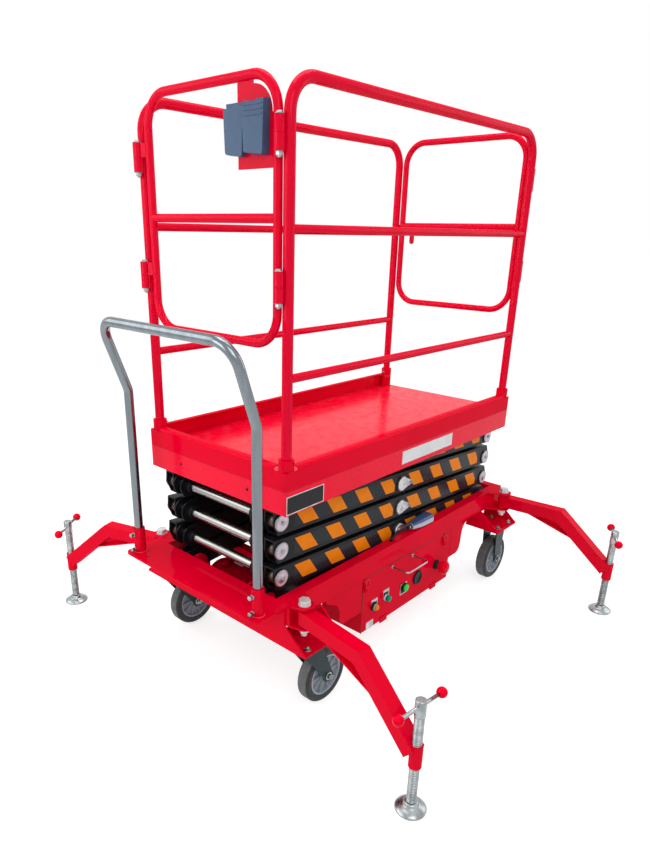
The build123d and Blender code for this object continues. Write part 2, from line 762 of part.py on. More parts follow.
with BuildPart() as caster_plates:
    for name, x, sy, trail in casters[:2]:
        block(x - 67, x + 67, sy * caster_y - 55, sy * caster_y + 55,
              caster_top_z - caster_plate_t, caster_top_z)
        rod_z(x, sy * caster_y, 36, race_z, caster_top_z - caster_plate_t)
        rod_z(x, sy * caster_y, kingpin_r, crown_z - 14, race_z)
        rod_z(x, sy * caster_y, 15, crown_z - 14, crown_z - 2)
finish(caster_plates.part, "caster_plates")


def caster_fork(x, sy, trail):
    """Crown and two legs that hold the wheel's bolt. A fixed caster has its plate in one piece."""
    top = crown_z + crown_t if trail else caster_top_z
    leg_in = tyre_width / 2 + fork_gap
    wx = x + trail
    with BuildPart() as fork:
        if trail:
            rod_z(x, sy * caster_y, 40, crown_z, top)
        else:
            block(x - 67, x + 67, sy * caster_y - 55, sy * caster_y + 55, top - caster_plate_t, top)
        for y in (sy * caster_y + leg_in + fork_leg_t, sy * caster_y - leg_in):
            with BuildSketch(side_plane(0, 0, y)):
                with BuildLine():
                    Polyline((x - 38, top), (x + 42, top), (x + 44, top - 22), (wx + 24, wheel_r),
                             (wx - 24, wheel_r), (x - 36, top - 30), close=True)
                make_face()
                with Locations((wx, wheel_r)):
                    Circle(24)
            extrude(amount=fork_leg_t)
        if trail:
            block(x - 38, x + 42, sy * caster_y - leg_in - fork_leg_t,
                  sy * caster_y + leg_in + fork_leg_t, crown_z, top)
            rod_z(x, sy * caster_y, kingpin_r + pin_fit, crown_z, top, mode=Mode.SUBTRACT)
        bolt_y = leg_in + fork_leg_t + 8
        rod_y(wx, wheel_r, axle_r, sy * caster_y - bolt_y, sy * caster_y + bolt_y)
    return fork.part


def caster_hub(x, sy, trail):
    """Dished hub with a boss and ribs, bored for the wheel's bolt."""
    with BuildPart() as hub:
        rod_y(x + trail, wheel_r, hub_r, sy * caster_y - 22, sy * caster_y + 22)
        for side in (-1, 1):
            y0, y1 = sorted((sy * caster_y + side * 6, sy * caster_y + side * 22))
            rod_y(x + trail, wheel_r, hub_r - 6, y0, y1, mode=Mode.SUBTRACT)
        with BuildSketch(side_plane(x + trail, wheel_r, sy * caster_y + hub_rib_y)):
            with PolarLocations(hub_r / 2 + 8, hub_ribs):
                Rectangle(hub_r - 20, 4)
        extrude(amount=2 * hub_rib_y)
        rod_y(x + trail, wheel_r, 22, sy * caster_y - 26, sy * caster_y + 26)
        rod_y(x + trail, wheel_r, axle_r + axle_fit, sy * caster_y - 30, sy * caster_y + 30,
              mode=Mode.SUBTRACT)
    return hub.part


def caster_tyre(x, sy, trail):
    """Tyre with rounded shoulders round the hub."""
    half = tyre_width / 2
    profile_plane = Plane(origin=(x + trail, sy * caster_y, wheel_r), x_dir=(0, 1, 0), z_dir=(1, 0, 0))
    with BuildPart() as tyre:
        with BuildSketch(profile_plane):
            with BuildLine():
                Polyline((-22, hub_r), (22, hub_r), (half - 1, hub_r + 6), (half, wheel_r - 12))
                ThreePointArc((half, wheel_r - 12), (half - 3, wheel_r - 4), (half - 10, wheel_r))
                Line((half - 10, wheel_r), (-half + 10, wheel_r))
                ThreePointArc((-half + 10, wheel_r), (-half + 3, wheel_r - 4), (-half, wheel_r - 12))
                Polyline((-half, wheel_r - 12), (-half + 1, hub_r + 6), (-22, hub_r))
            make_face()
        revolve(axis=Axis((x + trail, sy * caster_y, wheel_r), (0, 1, 0)))
    return tyre.part


for name, x, sy, trail in casters:
    finish(caster_fork(x, sy, trail), f"fork_{name}")
    finish(caster_hub(x, sy, trail), f"hub_{name}")
    finish(caster_tyre(x, sy, trail), f"tyre_{name}")

# ---------------------------------------------------------------- lifting cylinder
head_x = fixed_pivot_x + ram_head_u * math.cos(rest)
head_z = base_pivot_z + ram_head_u * math.sin(rest)
ram_angle = math.atan2(head_z - foot_z, head_x - foot_x)
ram_length = math.hypot(head_x - foot_x, head_z - foot_z)
gland_at = ram_length - 110
ram_axis = Vector(math.cos(ram_angle), 0, math.sin(ram_angle))
foot = Vector(foot_x, 0, foot_z)

with BuildPart() as ram_barrel:
    with BuildSketch(Plane(origin=foot + ram_axis * 15, z_dir=ram_axis)):
        Circle(20)
    extrude(amount=20)
    with BuildSketch(Plane(origin=foot + ram_axis * 35, z_dir=ram_axis)):
        Circle(barrel_r)
    extrude(amount=gland_at - 35)
    with BuildSketch(Plane(origin=foot + ram_axis * (gland_at - 28), z_dir=ram_axis)):
        Circle(gland_r)
    extrude(amount=28)
    # hose port
    with BuildSketch(Plane(origin=foot + ram_axis * 70, z_dir=(0, 0, 1))):
        Circle(10)
    extrude(amount=barrel_r + 12)
    rod_y(foot_x, foot_z, 22, -eye_half_w, eye_half_w)
    with BuildSketch(Plane(origin=foot + ram_axis * 45, z_dir=ram_axis)):
        Circle(rod_r + pin_fit)
    extrude(amount=ram_length, mode=Mode.SUBTRACT)
    rod_y(foot_x, foot_z, ram_pin_r + pin_fit, -eye_half_w, eye_half_w, mode=Mode.SUBTRACT)
finish(ram_barrel.part, "ram_barrel")

head = Vector(head_x, 0, head_z)
head_bore = head_pin_r + head_fit
with BuildPart() as ram_rod:
    with BuildSketch(Plane(origin=foot + ram_axis * 50, z_dir=ram_axis)):
        Circle(rod_r)
    extrude(amount=ram_length - 50 - head_bore - 4)
    rod_y(head_x, head_z, head_bore + head_eye_t, -eye_half_w, eye_half_w)
    rod_y(head_x, head_z, head_bore, -eye_half_w, eye_half_w, mode=Mode.SUBTRACT)
finish(ram_rod.part, "ram_rod")

# ---------------------------------------------------------------- deck
top_pivot_z = base_pivot_z + levels * level_pitch
deck_roller_r = 24.0
track_z = top_pivot_z + deck_roller_r + roller_gap
x0, x1 = deck_x - deck_length / 2, deck_x + deck_length / 2
half_w = deck_width / 2
floor_in = sheet_t + floor_gap
rail_shoulder = 12.0  # width of the folded shoulder that carries the toe boards
under_z = floor_z - floor_t
roller_pin_in_y = inner_in_y - arm_collar - cap_t  # inner end of the upper rollers' pins
channel_half = roller_pin_in_y - 6

with BuildPart() as deck:
    block(x0, x1, -half_w, half_w, skirt_z, seam_z)
    # raised floor inside the toe boards, open at the gate end
    block(x0 + floor_in, x1, floor_in - half_w, half_w - floor_in, seam_z, floor_z)
    block(x0 + sheet_t, x1 - sheet_t, -half_w + sheet_t, half_w - sheet_t, skirt_z, seam_z - sheet_t,
          mode=Mode.SUBTRACT)
    block(x0 + rail_shoulder, x1 - rail_shoulder, rail_shoulder - half_w, half_w - rail_shoulder,
          skirt_z, under_z, mode=Mode.SUBTRACT)
    for sx in (-1, 1):
        for sy in (-1, 1):
            # pads under the post sockets, and the floor cut back round them
            px0, px1 = sorted((deck_x + sx * deck_length / 2, deck_x + sx * (deck_length / 2 - 60)))
            py0, py1 = sorted((sy * half_w, sy * (half_w - 60)))
            block(px0, px1, py0, py1, seam_z - 6, seam_z)
            rod_z(deck_x + sx * post_x, sy * post_y, socket_r + floor_gap, seam_z, floor_z,
                  mode=Mode.SUBTRACT)
    # channels across under the floor, between the upper rollers' pins
    for x in (-400, -120, 160, 440):
        block(deck_x + x, deck_x + x + 36, -channel_half, channel_half, under_z - 20, under_z)
        block(deck_x + x + 3, deck_x + x + 33, -channel_half, channel_half, under_z - 20, under_z - 3,
              mode=Mode.SUBTRACT)
    for side in (-1, 1):
        # tracks for the upper rollers
        y0, y1 = sorted((side * 230, side * 266))
        block(roller_x - 400, roller_x + 34, y0, y1, track_z, under_z)
        # pivot lugs either side of each outer arm
        outer = arm_face_y + deck_lug_gap
        inner = arm_face_y - arm_width - deck_lug_gap - deck_lug_t
        for ly in (outer, inner):
            y0, y1 = sorted((side * ly, side * (ly + deck_lug_t)))
            with BuildSketch(side_plane(fixed_pivot_x, top_pivot_z, y1)):
                with Locations((0, (under_z - top_pivot_z) / 2)):
                    Rectangle(2 * deck_lug_r, under_z - top_pivot_z)
                Circle(deck_lug_r)
            extrude(amount=y1 - y0)
            rod_y(fixed_pivot_x, top_pivot_z, pin_r + pin_fit, y0, y1, mode=Mode.SUBTRACT)
finish(deck.part, "deck")


def folded_edge(plane, length):
    """Toe board with its top edge folded inwards; the plane's x points into the deck."""
    with BuildSketch(plane) as section:
        with BuildLine():
            Polyline((0, rim_z - rim_bend), (0, seam_z), (sheet_t, seam_z), (sheet_t, rim_z - rim_bend))
            RadiusArc((sheet_t, rim_z - rim_bend), (rim_bend, rim_z - sheet_t), rim_bend - sheet_t)
            Polyline((rim_bend, rim_z - sheet_t), (rim_flange, rim_z - sheet_t), (rim_flange, rim_z),
                     (rim_bend, rim_z))
            RadiusArc((rim_bend, rim_z), (0, rim_z - rim_bend), -rim_bend)
        make_face()
    extrude(section.sketch, amount=length)


# Toe boards on three sides, with the post sockets. Plain and lower at the corners.
with BuildPart() as toe_boards:
    block(x0, x1, -half_w, half_w, seam_z, corner_z)
    block(x0 + sheet_t, x1, -half_w + sheet_t, half_w - sheet_t, seam_z, corner_z, mode=Mode.SUBTRACT)
    folded_edge(Plane(origin=(x0 + rim_notch, -half_w, 0), x_dir=(0, 1, 0), z_dir=(1, 0, 0)),
                deck_length - 2 * rim_notch)
    folded_edge(Plane(origin=(x1 - rim_notch, half_w, 0), x_dir=(0, -1, 0), z_dir=(-1, 0, 0)),
                deck_length - 2 * rim_notch)
    folded_edge(Plane(origin=(x0, half_w - rim_notch, 0), x_dir=(1, 0, 0), z_dir=(0, -1, 0)),
                deck_width - 2 * rim_notch)
    for sx in (-1, 1):
        for sy in (-1, 1):
            rod_z(deck_x + sx * post_x, sy * post_y, socket_r, seam_z, socket_top_z)
            rod_z(deck_x + sx * post_x, sy * post_y, post_r + socket_gap, floor_z + 4, socket_top_z,
                  mode=Mode.SUBTRACT)
finish(toe_boards.part, "toe_boards")

# Rollers under the gate end of the deck, on the top inner arms
with BuildPart() as deck_rollers:
    for side in (-1, 1):
        y0, y1 = sorted((side * roller_pin_in_y, side * 236))
        rod_y(roller_x, top_pivot_z, pin_r, y0, y1)
        y0, y1 = sorted((side * 236, side * 262))
        rod_y(roller_x, top_pivot_z, deck_roller_r, y0, y1)
finish(deck_rollers.part, "deck_rollers")


# ---------------------------------------------------------------- guard rails
def knuckle_centre(sx):
    """Plan place of a hinge knuckle: clear of the post's tube and of the panel's."""
    a = Vector(deck_x + sx * (post_x + panel_out), panel_half_y)
    b = Vector(deck_x + sx * post_x, post_y)
    ra = panel_tube_r + knuckle_r + socket_gap
    rb = post_r + knuckle_r + socket_gap
    d = (b - a).length
    along = (ra * ra - rb * rb + d * d) / (2 * d)
    off = math.sqrt(ra * ra - along * along)
    u = (b - a) / d
    n = Vector(-u.Y, u.X) if (-u.Y) * sx > 0 else Vector(u.Y, -u.X)
    return a + u * along + n * off


def swept_tube(points, radius, bends, closed=False):
    """Round tube along a path with bent corners, added to the part being built."""
    with BuildLine() as line:
        FilletPolyline(*points, radius=bends, close=closed)
    start = line.line @ 0
    with BuildSketch(Plane(origin=start, z_dir=line.line % 0)) as section:
        Circle(radius)
    sweep(section.sketch, path=line.line)


def tube_x(x0, x1, y, z, r):
    """Round tube along X, added to the part being built."""
    with BuildSketch(Plane(origin=(x0, y, z), z_dir=(1, 0, 0))) as section:
        Circle(r)
    extrude(section.sketch, amount=x1 - x0)


def weld_web(knuckle, tube, z0, z1):
    """Small weld between a knuckle and the tube that carries it."""
    mid = (knuckle + tube) / 2
    u = (tube - knuckle).normalized()
    web_plane = Plane(origin=(mid.X, mid.Y, z0), x_dir=(u.X, u.Y, 0), z_dir=(0, 0, 1))
    with BuildSketch(web_plane) as section:
        Rectangle((tube - knuckle).length - 8, 8)
    extrude(section.sketch, amount=z1 - z0)


def guard_rail(sy):
    """Side frame: posts and top rail from one bent tube, two rails, and the fixed knuckles."""
    y = sy * post_y
    xa, xb = deck_x - post_x, deck_x + post_x
    z0 = floor_z + 4.3
    with BuildPart() as rail:
        swept_tube([(xa, y, z0), (xa, y, top_rail_z), (xb, y, top_rail_z), (xb, y, z0)],
                   post_r, rail_bend)
        for z in (mid_rail_z, low_rail_z):
            tube_x(xa, xb, y, z, rail_r)
        for sx in ((-1, 1) if sy < 0 else (-1,)):
            k = knuckle_centre(sx)
            knuckle = Vector(k.X, sy * k.Y)
            tube = Vector(deck_x + sx * post_x, y)
            for z in hinge_zs[sx, sy]:
                rod_z(knuckle.X, knuckle.Y, knuckle_r, z - knuckle_h, z)
                weld_web(knuckle, tube, z - knuckle_h, z)
                rod_z(knuckle.X, knuckle.Y, hinge_pin_r, z - knuckle_h - 14, z + knuckle_h + 5)
                rod_z(knuckle.X, knuckle.Y, 8, z - knuckle_h - 10, z - knuckle_h)
    return rail.part


def end_gate(sx, sides):
    """Rounded frame with a middle rail, hung on knuckles at the named sides."""
    x = deck_x + sx * (post_x + panel_out)
    h = panel_half_y
    left = panel_left_y if sx < 0 else h
    with BuildPart() as gate:
        swept_tube([(x, -h, panel_top_z), (x, left, panel_top_z), (x, left, panel_low_z),
                    (x, -h, panel_low_z)], panel_tube_r, panel_bend, closed=True)
        with BuildSketch(Plane(origin=(x, left, panel_mid_z), z_dir=(0, -1, 0))):
            Circle(panel_tube_r)
        extrude(amount=left + h)
        for sy in sides:
            k = knuckle_centre(sx)
            knuckle = Vector(k.X, sy * k.Y)
            tube = Vector(x, left if sy > 0 else -h)
            for z in hinge_zs[sx, sy]:
                rod_z(knuckle.X, knuckle.Y, knuckle_r, z + knuckle_gap, z + knuckle_h)
                weld_web(knuckle, tube, z + knuckle_gap, z + knuckle_h)
                rod_z(knuckle.X, knuckle.Y, hinge_pin_r + pin_fit, z - 1, z + knuckle_h + 1,
                      mode=Mode.SUBTRACT)
        if sx < 0:
            # plate that carries the document holder, its corner following the tube's bend
            bend_y, bend_z = panel_bend - h, panel_top_z - panel_bend
            r = panel_bend - panel_tube_r - 8
            with BuildSketch(Plane(origin=(x - 1.5, 0, 0), x_dir=(0, 1, 0), z_dir=(1, 0, 0))):
                with BuildLine():
                    Polyline((bend_y, bend_z + r), (bend_y, panel_top_z - 6), (-136, panel_top_z - 6),
                             (-136, 1716), (-h, 1716), (-h, bend_z), (bend_y - r, bend_z))
                    ThreePointArc((bend_y - r, bend_z), (bend_y - r * 0.7071, bend_z + r * 0.7071),
                                  (bend_y, bend_z + r))
                make_face()
            extrude(amount=3)
    return gate.part


finish(guard_rail(1), "guard_rail_left")
finish(guard_rail(-1), "guard_rail_right")
finish(end_gate(-1, (-1, 1)), "end_panel")
finish(end_gate(1, (-1,)), "gate")

# Drop latch on the gate's middle rail: a barrel and a hanging lever
gate_x = deck_x + post_x + panel_out
with BuildPart() as gate_latch:
    latch_x = gate_x + panel_tube_r + 9
    rod_y(latch_x, panel_mid_z, 9, 150, 262)
    rod_y(latch_x, panel_mid_z, 6, 140, 330)
    with BuildSketch(end_plane(latch_x + 4)):
        with Locations((248, panel_mid_z - 34)):
            SlotCenterToCenter(68, 22, rotation=90)
    extrude(amount=6)
finish(gate_latch.part, "gate_latch")

# Two-pocket document holder on the end panel
holder_x1 = deck_x - post_x - panel_out - 1.8
holder_z0, holder_z1 = 1748.0, 1876.0
holder_wall = 3.0
# Pockets: the two edges in y, depth
pockets = [(-260, -174, 24), (-174, -94, 16)]


def pocket(y0, y1, depth):
    """Pocket open at the top, narrower towards its foot and its front."""
    outer = [(y0, holder_z1), (y1, holder_z1), (y1 - 5, holder_z0 + 4), (y0 + 5, holder_z0 - 4)]
    w = holder_wall
    inner = [(y0 + w, holder_z1 + 20), (y1 - w, holder_z1 + 20), (y1 - w - 5, holder_z0 + w + 4),
             (y0 + w + 5, holder_z0 + w - 4)]
    # seen from the handle's end: the plane's x runs along -Y
    wall_plane = Plane(origin=(holder_x1, 0, 0), x_dir=(0, -1, 0), z_dir=(-1, 0, 0))
    with BuildSketch(wall_plane) as section:
        with BuildLine():
            Polyline(*[(-y, z) for y, z in outer], close=True)
        make_face()
        fillet(section.vertices().sort_by(Axis.Y)[:2], 10)
    extrude(section.sketch, amount=depth, taper=6)
    with BuildSketch(wall_plane.offset(w)) as hollow:
        with BuildLine():
            Polyline(*[(-y, z) for y, z in inner], close=True)
        make_face()
        fillet(hollow.vertices().sort_by(Axis.Y)[:2], 8)
    extrude(hollow.sketch, amount=depth - 2 * w, taper=6, mode=Mode.SUBTRACT)


with BuildPart() as document_holder:
    for y0, y1, depth in pockets:
        pocket(y0, y1, depth)
    # ribs across the front of the deep pocket, near its mouth
    deep_y0, deep_y1, deep = pockets[0]
    for z in (1864, 1852, 1840):
        block(holder_x1 - deep - 2, holder_x1 - deep + 1, deep_y0 + 8, deep_y1 - 8, z - 2, z + 2)
    # wavy mouth
    with BuildSketch(Plane(origin=(holder_x1 - 40, 0, 0), x_dir=(0, 1, 0), z_dir=(1, 0, 0))):
        with BuildLine():
            mouth = [(-265, 1872), (-240, 1876), (-215, 1868), (-190, 1873), (-174, 1866), (-150, 1870),
                     (-125, 1864), (-89, 1868)]
            Spline(*mouth)
            Polyline(mouth[-1], (-89, 1900), (-265, 1900), mouth[0])
        make_face()
    extrude(amount=37, mode=Mode.SUBTRACT)
finish(document_holder.part, "document_holder")

# ---------------------------------------------------------------- push handle
handle_z0 = beam_z1 + roller_gap
path = [
    (handle_x, -handle_y, handle_z0),
    (handle_x, -handle_y, handle_bend_z),
    (handle_x - handle_lean, -handle_y, handle_top_z),
    (handle_x - handle_lean, handle_y, handle_top_z),
    (handle_x, handle_y, handle_bend_z),
    (handle_x, handle_y, handle_z0),
]
with BuildPart() as push_handle:
    with BuildLine() as handle_line:
        FilletPolyline(*path, radius=handle_bends)
    with BuildSketch(Plane(origin=path[0], z_dir=(0, 0, 1))):
        Circle(handle_r)
    sweep(path=handle_line.line)
finish(push_handle.part, "push_handle")

# ---------------------------------------------------------------- lead and plug
plug_y = cord_y
plug_z = beam_z1 + 19.4
plug_x = 58.8
with BuildPart() as plug:
    for u, w, h in ((14, 32, 24), (80, 44, 36), (151, 46, 38)):
        with BuildSketch(Plane(origin=(plug_x + u, plug_y, plug_z), x_dir=(0, 1, 0), z_dir=(1, 0, 0))):
            RectangleRounded(w, h, 9)
    loft(ruled=True)
    with BuildSketch(Plane(origin=(plug_x, plug_y, plug_z), z_dir=(1, 0, 0))):
        Circle(8)
    extrude(amount=20)
finish(plug.part, "plug")

cord_points = [
    (cord_hole_x, plug_y, beam_z1 - 14),
    (cord_hole_x, plug_y, beam_z1 + 8),
    (cord_hole_x + 20, plug_y - 3, beam_z1 + 22),
    (cord_hole_x + 53, plug_y + 2, beam_z1 + 27),
    (plug_x - 30, plug_y, plug_z),
    (plug_x, plug_y, plug_z),
]


def cord_bends(points):
    """Bend radii as large as each corner's two runs allow."""
    bends = []
    for a, b, c in zip(points, points[1:], points[2:]):
        u, v = Vector(*b) - Vector(*a), Vector(*c) - Vector(*b)
        turn = math.radians(u.get_angle(v))
        bends.append(0.45 * min(u.length, v.length) / math.tan(turn / 2))
    return bends


bends = cord_bends(cord_points)
print("cord bend radii", [round(r, 1) for r in bends])
with BuildPart() as cord:
    with BuildLine() as cord_line:
        FilletPolyline(*cord_points, radius=bends)
    with BuildSketch(Plane(origin=cord_points[0], z_dir=cord_line.line % 0)):
        Circle(cord_r)
    sweep(path=cord_line.line)
finish(cord.part, "cord")
cord_length = sum(edge.length for edge in cord_line.line.edges())
print("cord length", round(cord_length, 1),
      "volume ratio", round(cord.part.volume / (math.pi * cord_r**2 * cord_length), 4))
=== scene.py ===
"""Looks of the mobile scissor lift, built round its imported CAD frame. Metres."""

import json
import math

import bpy
import bmesh
from mathutils import Matrix, Vector, noise


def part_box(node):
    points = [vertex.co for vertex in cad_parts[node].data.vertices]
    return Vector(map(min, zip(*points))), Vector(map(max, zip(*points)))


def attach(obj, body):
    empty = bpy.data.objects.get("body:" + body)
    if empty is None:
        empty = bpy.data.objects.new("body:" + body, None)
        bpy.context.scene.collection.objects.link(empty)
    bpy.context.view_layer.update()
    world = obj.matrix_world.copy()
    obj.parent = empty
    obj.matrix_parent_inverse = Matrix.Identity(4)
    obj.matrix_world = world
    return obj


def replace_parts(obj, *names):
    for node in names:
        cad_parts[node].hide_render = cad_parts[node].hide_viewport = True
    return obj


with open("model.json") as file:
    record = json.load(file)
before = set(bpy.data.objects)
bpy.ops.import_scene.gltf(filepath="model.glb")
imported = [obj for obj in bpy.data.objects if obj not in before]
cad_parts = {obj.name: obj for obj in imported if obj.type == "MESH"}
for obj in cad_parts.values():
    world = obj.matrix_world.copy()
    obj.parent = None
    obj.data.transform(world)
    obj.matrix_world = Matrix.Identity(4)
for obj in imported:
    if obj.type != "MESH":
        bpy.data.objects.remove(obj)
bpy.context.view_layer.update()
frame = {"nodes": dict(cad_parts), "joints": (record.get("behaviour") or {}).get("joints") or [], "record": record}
nodes = frame["nodes"]
joints = {j["name"]: j for j in frame["joints"]}
mounts = {m["name"]: m for m in frame["record"]["mounts"]}

MM = 0.001
X, Y, Z = Vector((1, 0, 0)), Vector((0, 1, 0)), Vector((0, 0, 1))
CORNERS = ("near_left", "near_right", "far_left", "far_right")


def joint_at(name):
    """A joint's place at rest."""
    return Vector(joints[name]["pos_m"])


def mm(x, y, z):
    """A place given in millimetres."""
    return Vector((x, y, z)) * MM


def mms(*pairs):
    """Pairs given in millimetres."""
    return [(u * MM, v * MM) for u, v in pairs]


# ------------------------------------------------------------------------ materials
class Finish:
    """Node-based material with a Principled shader and a few shared ways to break it up."""

    def __init__(self, name, color, rough=0.4, metal=0.0, coat=0.0, coat_rough=0.08, spec=0.5):
        self.material = bpy.data.materials.new(name)
        self.material.use_nodes = True
        self.tree = self.material.node_tree
        self.shader = self.tree.nodes["Principled BSDF"]
        self.color = color
        self.shader.inputs["Base Color"].default_value = (*color, 1)
        self.shader.inputs["Roughness"].default_value = rough
        self.shader.inputs["Metallic"].default_value = metal
        self.shader.inputs["Coat Weight"].default_value = coat
        self.shader.inputs["Coat Roughness"].default_value = coat_rough
        self.shader.inputs["Specular IOR Level"].default_value = spec
        self.normal = None
        self.coords = self.node("ShaderNodeTexCoord").outputs["Object"]

    def node(self, kind, **values):
        made = self.tree.nodes.new(kind)
        for key, value in values.items():
            setattr(made, key, value)
        return made

    def link(self, a, b):
        self.tree.links.new(a, b)

    def noise(self, scale, detail=3.0, rough=0.5, stretch=(1, 1, 1)):
        """Noise in the row frame, with features of about 1/scale metres."""
        mapping = self.node("ShaderNodeMapping")
        mapping.inputs["Scale"].default_value = stretch
        self.link(self.coords, mapping.inputs["Vector"])
        tex = self.node("ShaderNodeTexNoise")
        tex.inputs["Scale"].default_value = scale
        tex.inputs["Detail"].default_value = detail
        tex.inputs["Roughness"].default_value = rough
        self.link(mapping.outputs["Vector"], tex.inputs["Vector"])
        return tex.outputs["Fac"]

    def ramp(self, value, low, high, a=0.0, b=1.0):
        """Maps a value from low..high to a..b, clamped."""
        made = self.node("ShaderNodeMapRange")
        for key, number in (("From Min", low), ("From Max", high), ("To Min", a), ("To Max", b)):
            made.inputs[key].default_value = number
        self.link(value, made.inputs["Value"])
        return made.outputs["Result"]

    def mix_color(self, factor, color):
        """Lays a second colour over the first by factor."""
        made = self.node("ShaderNodeMix", data_type="RGBA")
        self.link(factor, made.inputs["Factor"])
        base = self.shader.inputs["Base Color"]
        if base.is_linked:
            self.link(base.links[0].from_socket, made.inputs[6])
        else:
            made.inputs[6].default_value = (*self.color, 1)
        made.inputs[7].default_value = (*color, 1)
        self.link(made.outputs[2], base)
        return self

    def vary_rough(self, value, low, high):
        self.link(self.ramp(value, 0.3, 0.7, low, high), self.shader.inputs["Roughness"])
        return self

    def round_edges(self, radius):
        """Softens hard edges in the shading, as a paint film does."""
        bevel = self.node("ShaderNodeBevel", samples=4)
        bevel.inputs["Radius"].default_value = radius
        self.normal = bevel.outputs["Normal"]
        self.link(self.normal, self.shader.inputs["Normal"])
        return self

    def bump(self, value, height, strength=1.0):
        """Bump of the given height in metres."""
        made = self.node("ShaderNodeBump")
        made.inputs["Strength"].default_value = strength
        made.inputs["Distance"].default_value = height
        self.link(value, made.inputs["Height"])
        if self.normal is not None:
            self.link(self.normal, made.inputs["Normal"])
        self.normal = made.outputs["Normal"]
        self.link(self.normal, self.shader.inputs["Normal"])
        return self

    def facing(self, axis):
        """How squarely the surface faces one axis: 0 to 1."""
        geometry = self.node("ShaderNodeTexCoord")
        split = self.node("ShaderNodeSeparateXYZ")
        self.link(geometry.outputs["Normal"], split.inputs["Vector"])
        absolute = self.node("ShaderNodeMath", operation="ABSOLUTE")
        self.link(split.outputs[axis], absolute.inputs[0])
        return absolute.outputs[0]


def enamel(name, color, deep, rough=0.34, spec=0.0, coat=0.10, edge=1.4 * MM):
    """Machine enamel of a deep colour: faint drift, orange peel and slow waves of thin sheet."""
    f = Finish(name, color, rough, coat=coat, coat_rough=0.06, spec=spec)
    f.mix_color(f.ramp(f.noise(5.0), 0.35, 0.75, 0.0, 0.55), deep)
    f.vary_rough(f.noise(60.0), rough - 0.08, rough + 0.10)
    f.round_edges(edge)
    f.bump(f.noise(9.0, 1.0), 0.35 * MM, 0.4)
    return f.material


def metal(name, color, rough, stretch=(1, 1, 1), edge=0.6 * MM, dark=0.62, cloud=(38.0, (1, 1, 1))):
    """Plated or bare steel with cloudy brightness and fine streaks; cloud is (scale, stretch)."""
    f = Finish(name, color, rough, metal=1.0)
    cloud_scale, cloud_stretch = cloud
    f.mix_color(f.ramp(f.noise(cloud_scale, 4.0, stretch=cloud_stretch), 0.4, 0.62, 0.0, 0.8),
                tuple(dark * c for c in color))
    f.vary_rough(f.noise(160.0, 3.0, stretch=stretch), rough - 0.08, rough + 0.12)
    f.round_edges(edge)
    return f.material


def plastic(name, color, rough=0.4, edge=1.0 * MM, spec=0.12):
    """Moulded plastic with slight colour drift."""
    f = Finish(name, color, rough, spec=spec)
    f.mix_color(f.ramp(f.noise(25.0), 0.4, 0.8, 0.0, 0.5), tuple(0.72 * c for c in color))
    f.vary_rough(f.noise(80.0), rough - 0.05, rough + 0.1)
    f.round_edges(edge)
    return f.material


RED = (0.76, 0.0, 0.022)
RED_DEEP = (0.62, 0.0, 0.016)
red = enamel("red_enamel", RED, RED_DEEP)
red_rail = enamel("red_rail_enamel", (0.74, 0.0, 0.026), (0.60, 0.0, 0.018), rough=0.28, coat=0.16,
                  edge=0.5 * MM)
red_seam = plastic("red_seam", (0.20, 0.012, 0.012), 0.5)
red_weld = enamel("red_weld", (0.86, 0.05, 0.07), (0.70, 0.01, 0.03), rough=0.25, spec=0.1)
tank_red = enamel("tank_red", (0.36, 0.0, 0.012), (0.24, 0.0, 0.008))
arm_black = enamel("arm_black", (0.008, 0.009, 0.011), (0.004, 0.004, 0.006), rough=0.3, spec=0.07)
fork_green = enamel("fork_enamel", (0.014, 0.034, 0.038), (0.008, 0.018, 0.02), rough=0.36, spec=0.12)
zinc = metal("zinc", (0.39, 0.42, 0.43), 0.28)
tube_steel = metal("tube_steel", (0.40, 0.41, 0.39), 0.24, stretch=(1, 0.05, 1), dark=0.7,
                   cloud=(60.0, (1, 0.06, 1)))
cap_steel = metal("cap_steel", (0.50, 0.45, 0.49), 0.40, dark=0.8)
cap_rim = metal("cap_rim", (0.30, 0.31, 0.33), 0.35)
bronze = metal("bronze", (0.11, 0.085, 0.065), 0.4)
bolt_zinc = metal("bolt_zinc", (0.70, 0.72, 0.74), 0.5, dark=0.8)
bolt_zinc.node_tree.nodes["Principled BSDF"].inputs["Metallic"].default_value = 0.55
chrome = metal("rod_chrome", (0.62, 0.64, 0.66), 0.12)
handle_grey = metal("handle_grey", (0.21, 0.24, 0.26), 0.17, stretch=(1, 1, 0.06), edge=0.3 * MM,
                    dark=0.8, cloud=(30.0, (1, 1, 0.2)))
hub_grey = plastic("hub_grey", (0.37, 0.41, 0.46), 0.42)
holder_blue = plastic("holder_blue", (0.045, 0.092, 0.175), 0.30, spec=0.25)
black_plastic = plastic("black_plastic", (0.010, 0.010, 0.012), 0.34)
cord_black = plastic("cord_black", (0.014, 0.014, 0.015), 0.5)
plug_blue = plastic("plug_blue", (0.035, 0.075, 0.22), 0.34)
plug_grey = metal("plug_grey", (0.50, 0.54, 0.58), 0.32)
amber_lens = plastic("amber_lens", (0.80, 0.26, 0.01), 0.18)
green_lens = plastic("green_lens", (0.02, 0.66, 0.06), 0.18)
teal_plastic = plastic("teal_plastic", (0.01, 0.26, 0.16), 0.3)
red_plastic = plastic("red_plastic", (0.80, 0.0, 0.022), 0.22, spec=0.04)
label_white = plastic("label_white", (0.72, 0.73, 0.74), 0.3, edge=0.1 * MM)
label_black = plastic("label_black", (0.016, 0.016, 0.018), 0.3, edge=0.1 * MM)
label_silver = metal("label_silver", (0.62, 0.64, 0.66), 0.38, edge=0.1 * MM)
tape_amber = plastic("tape_amber", (0.84, 0.225, 0.002), 0.3, edge=0.05 * MM, spec=0.06)
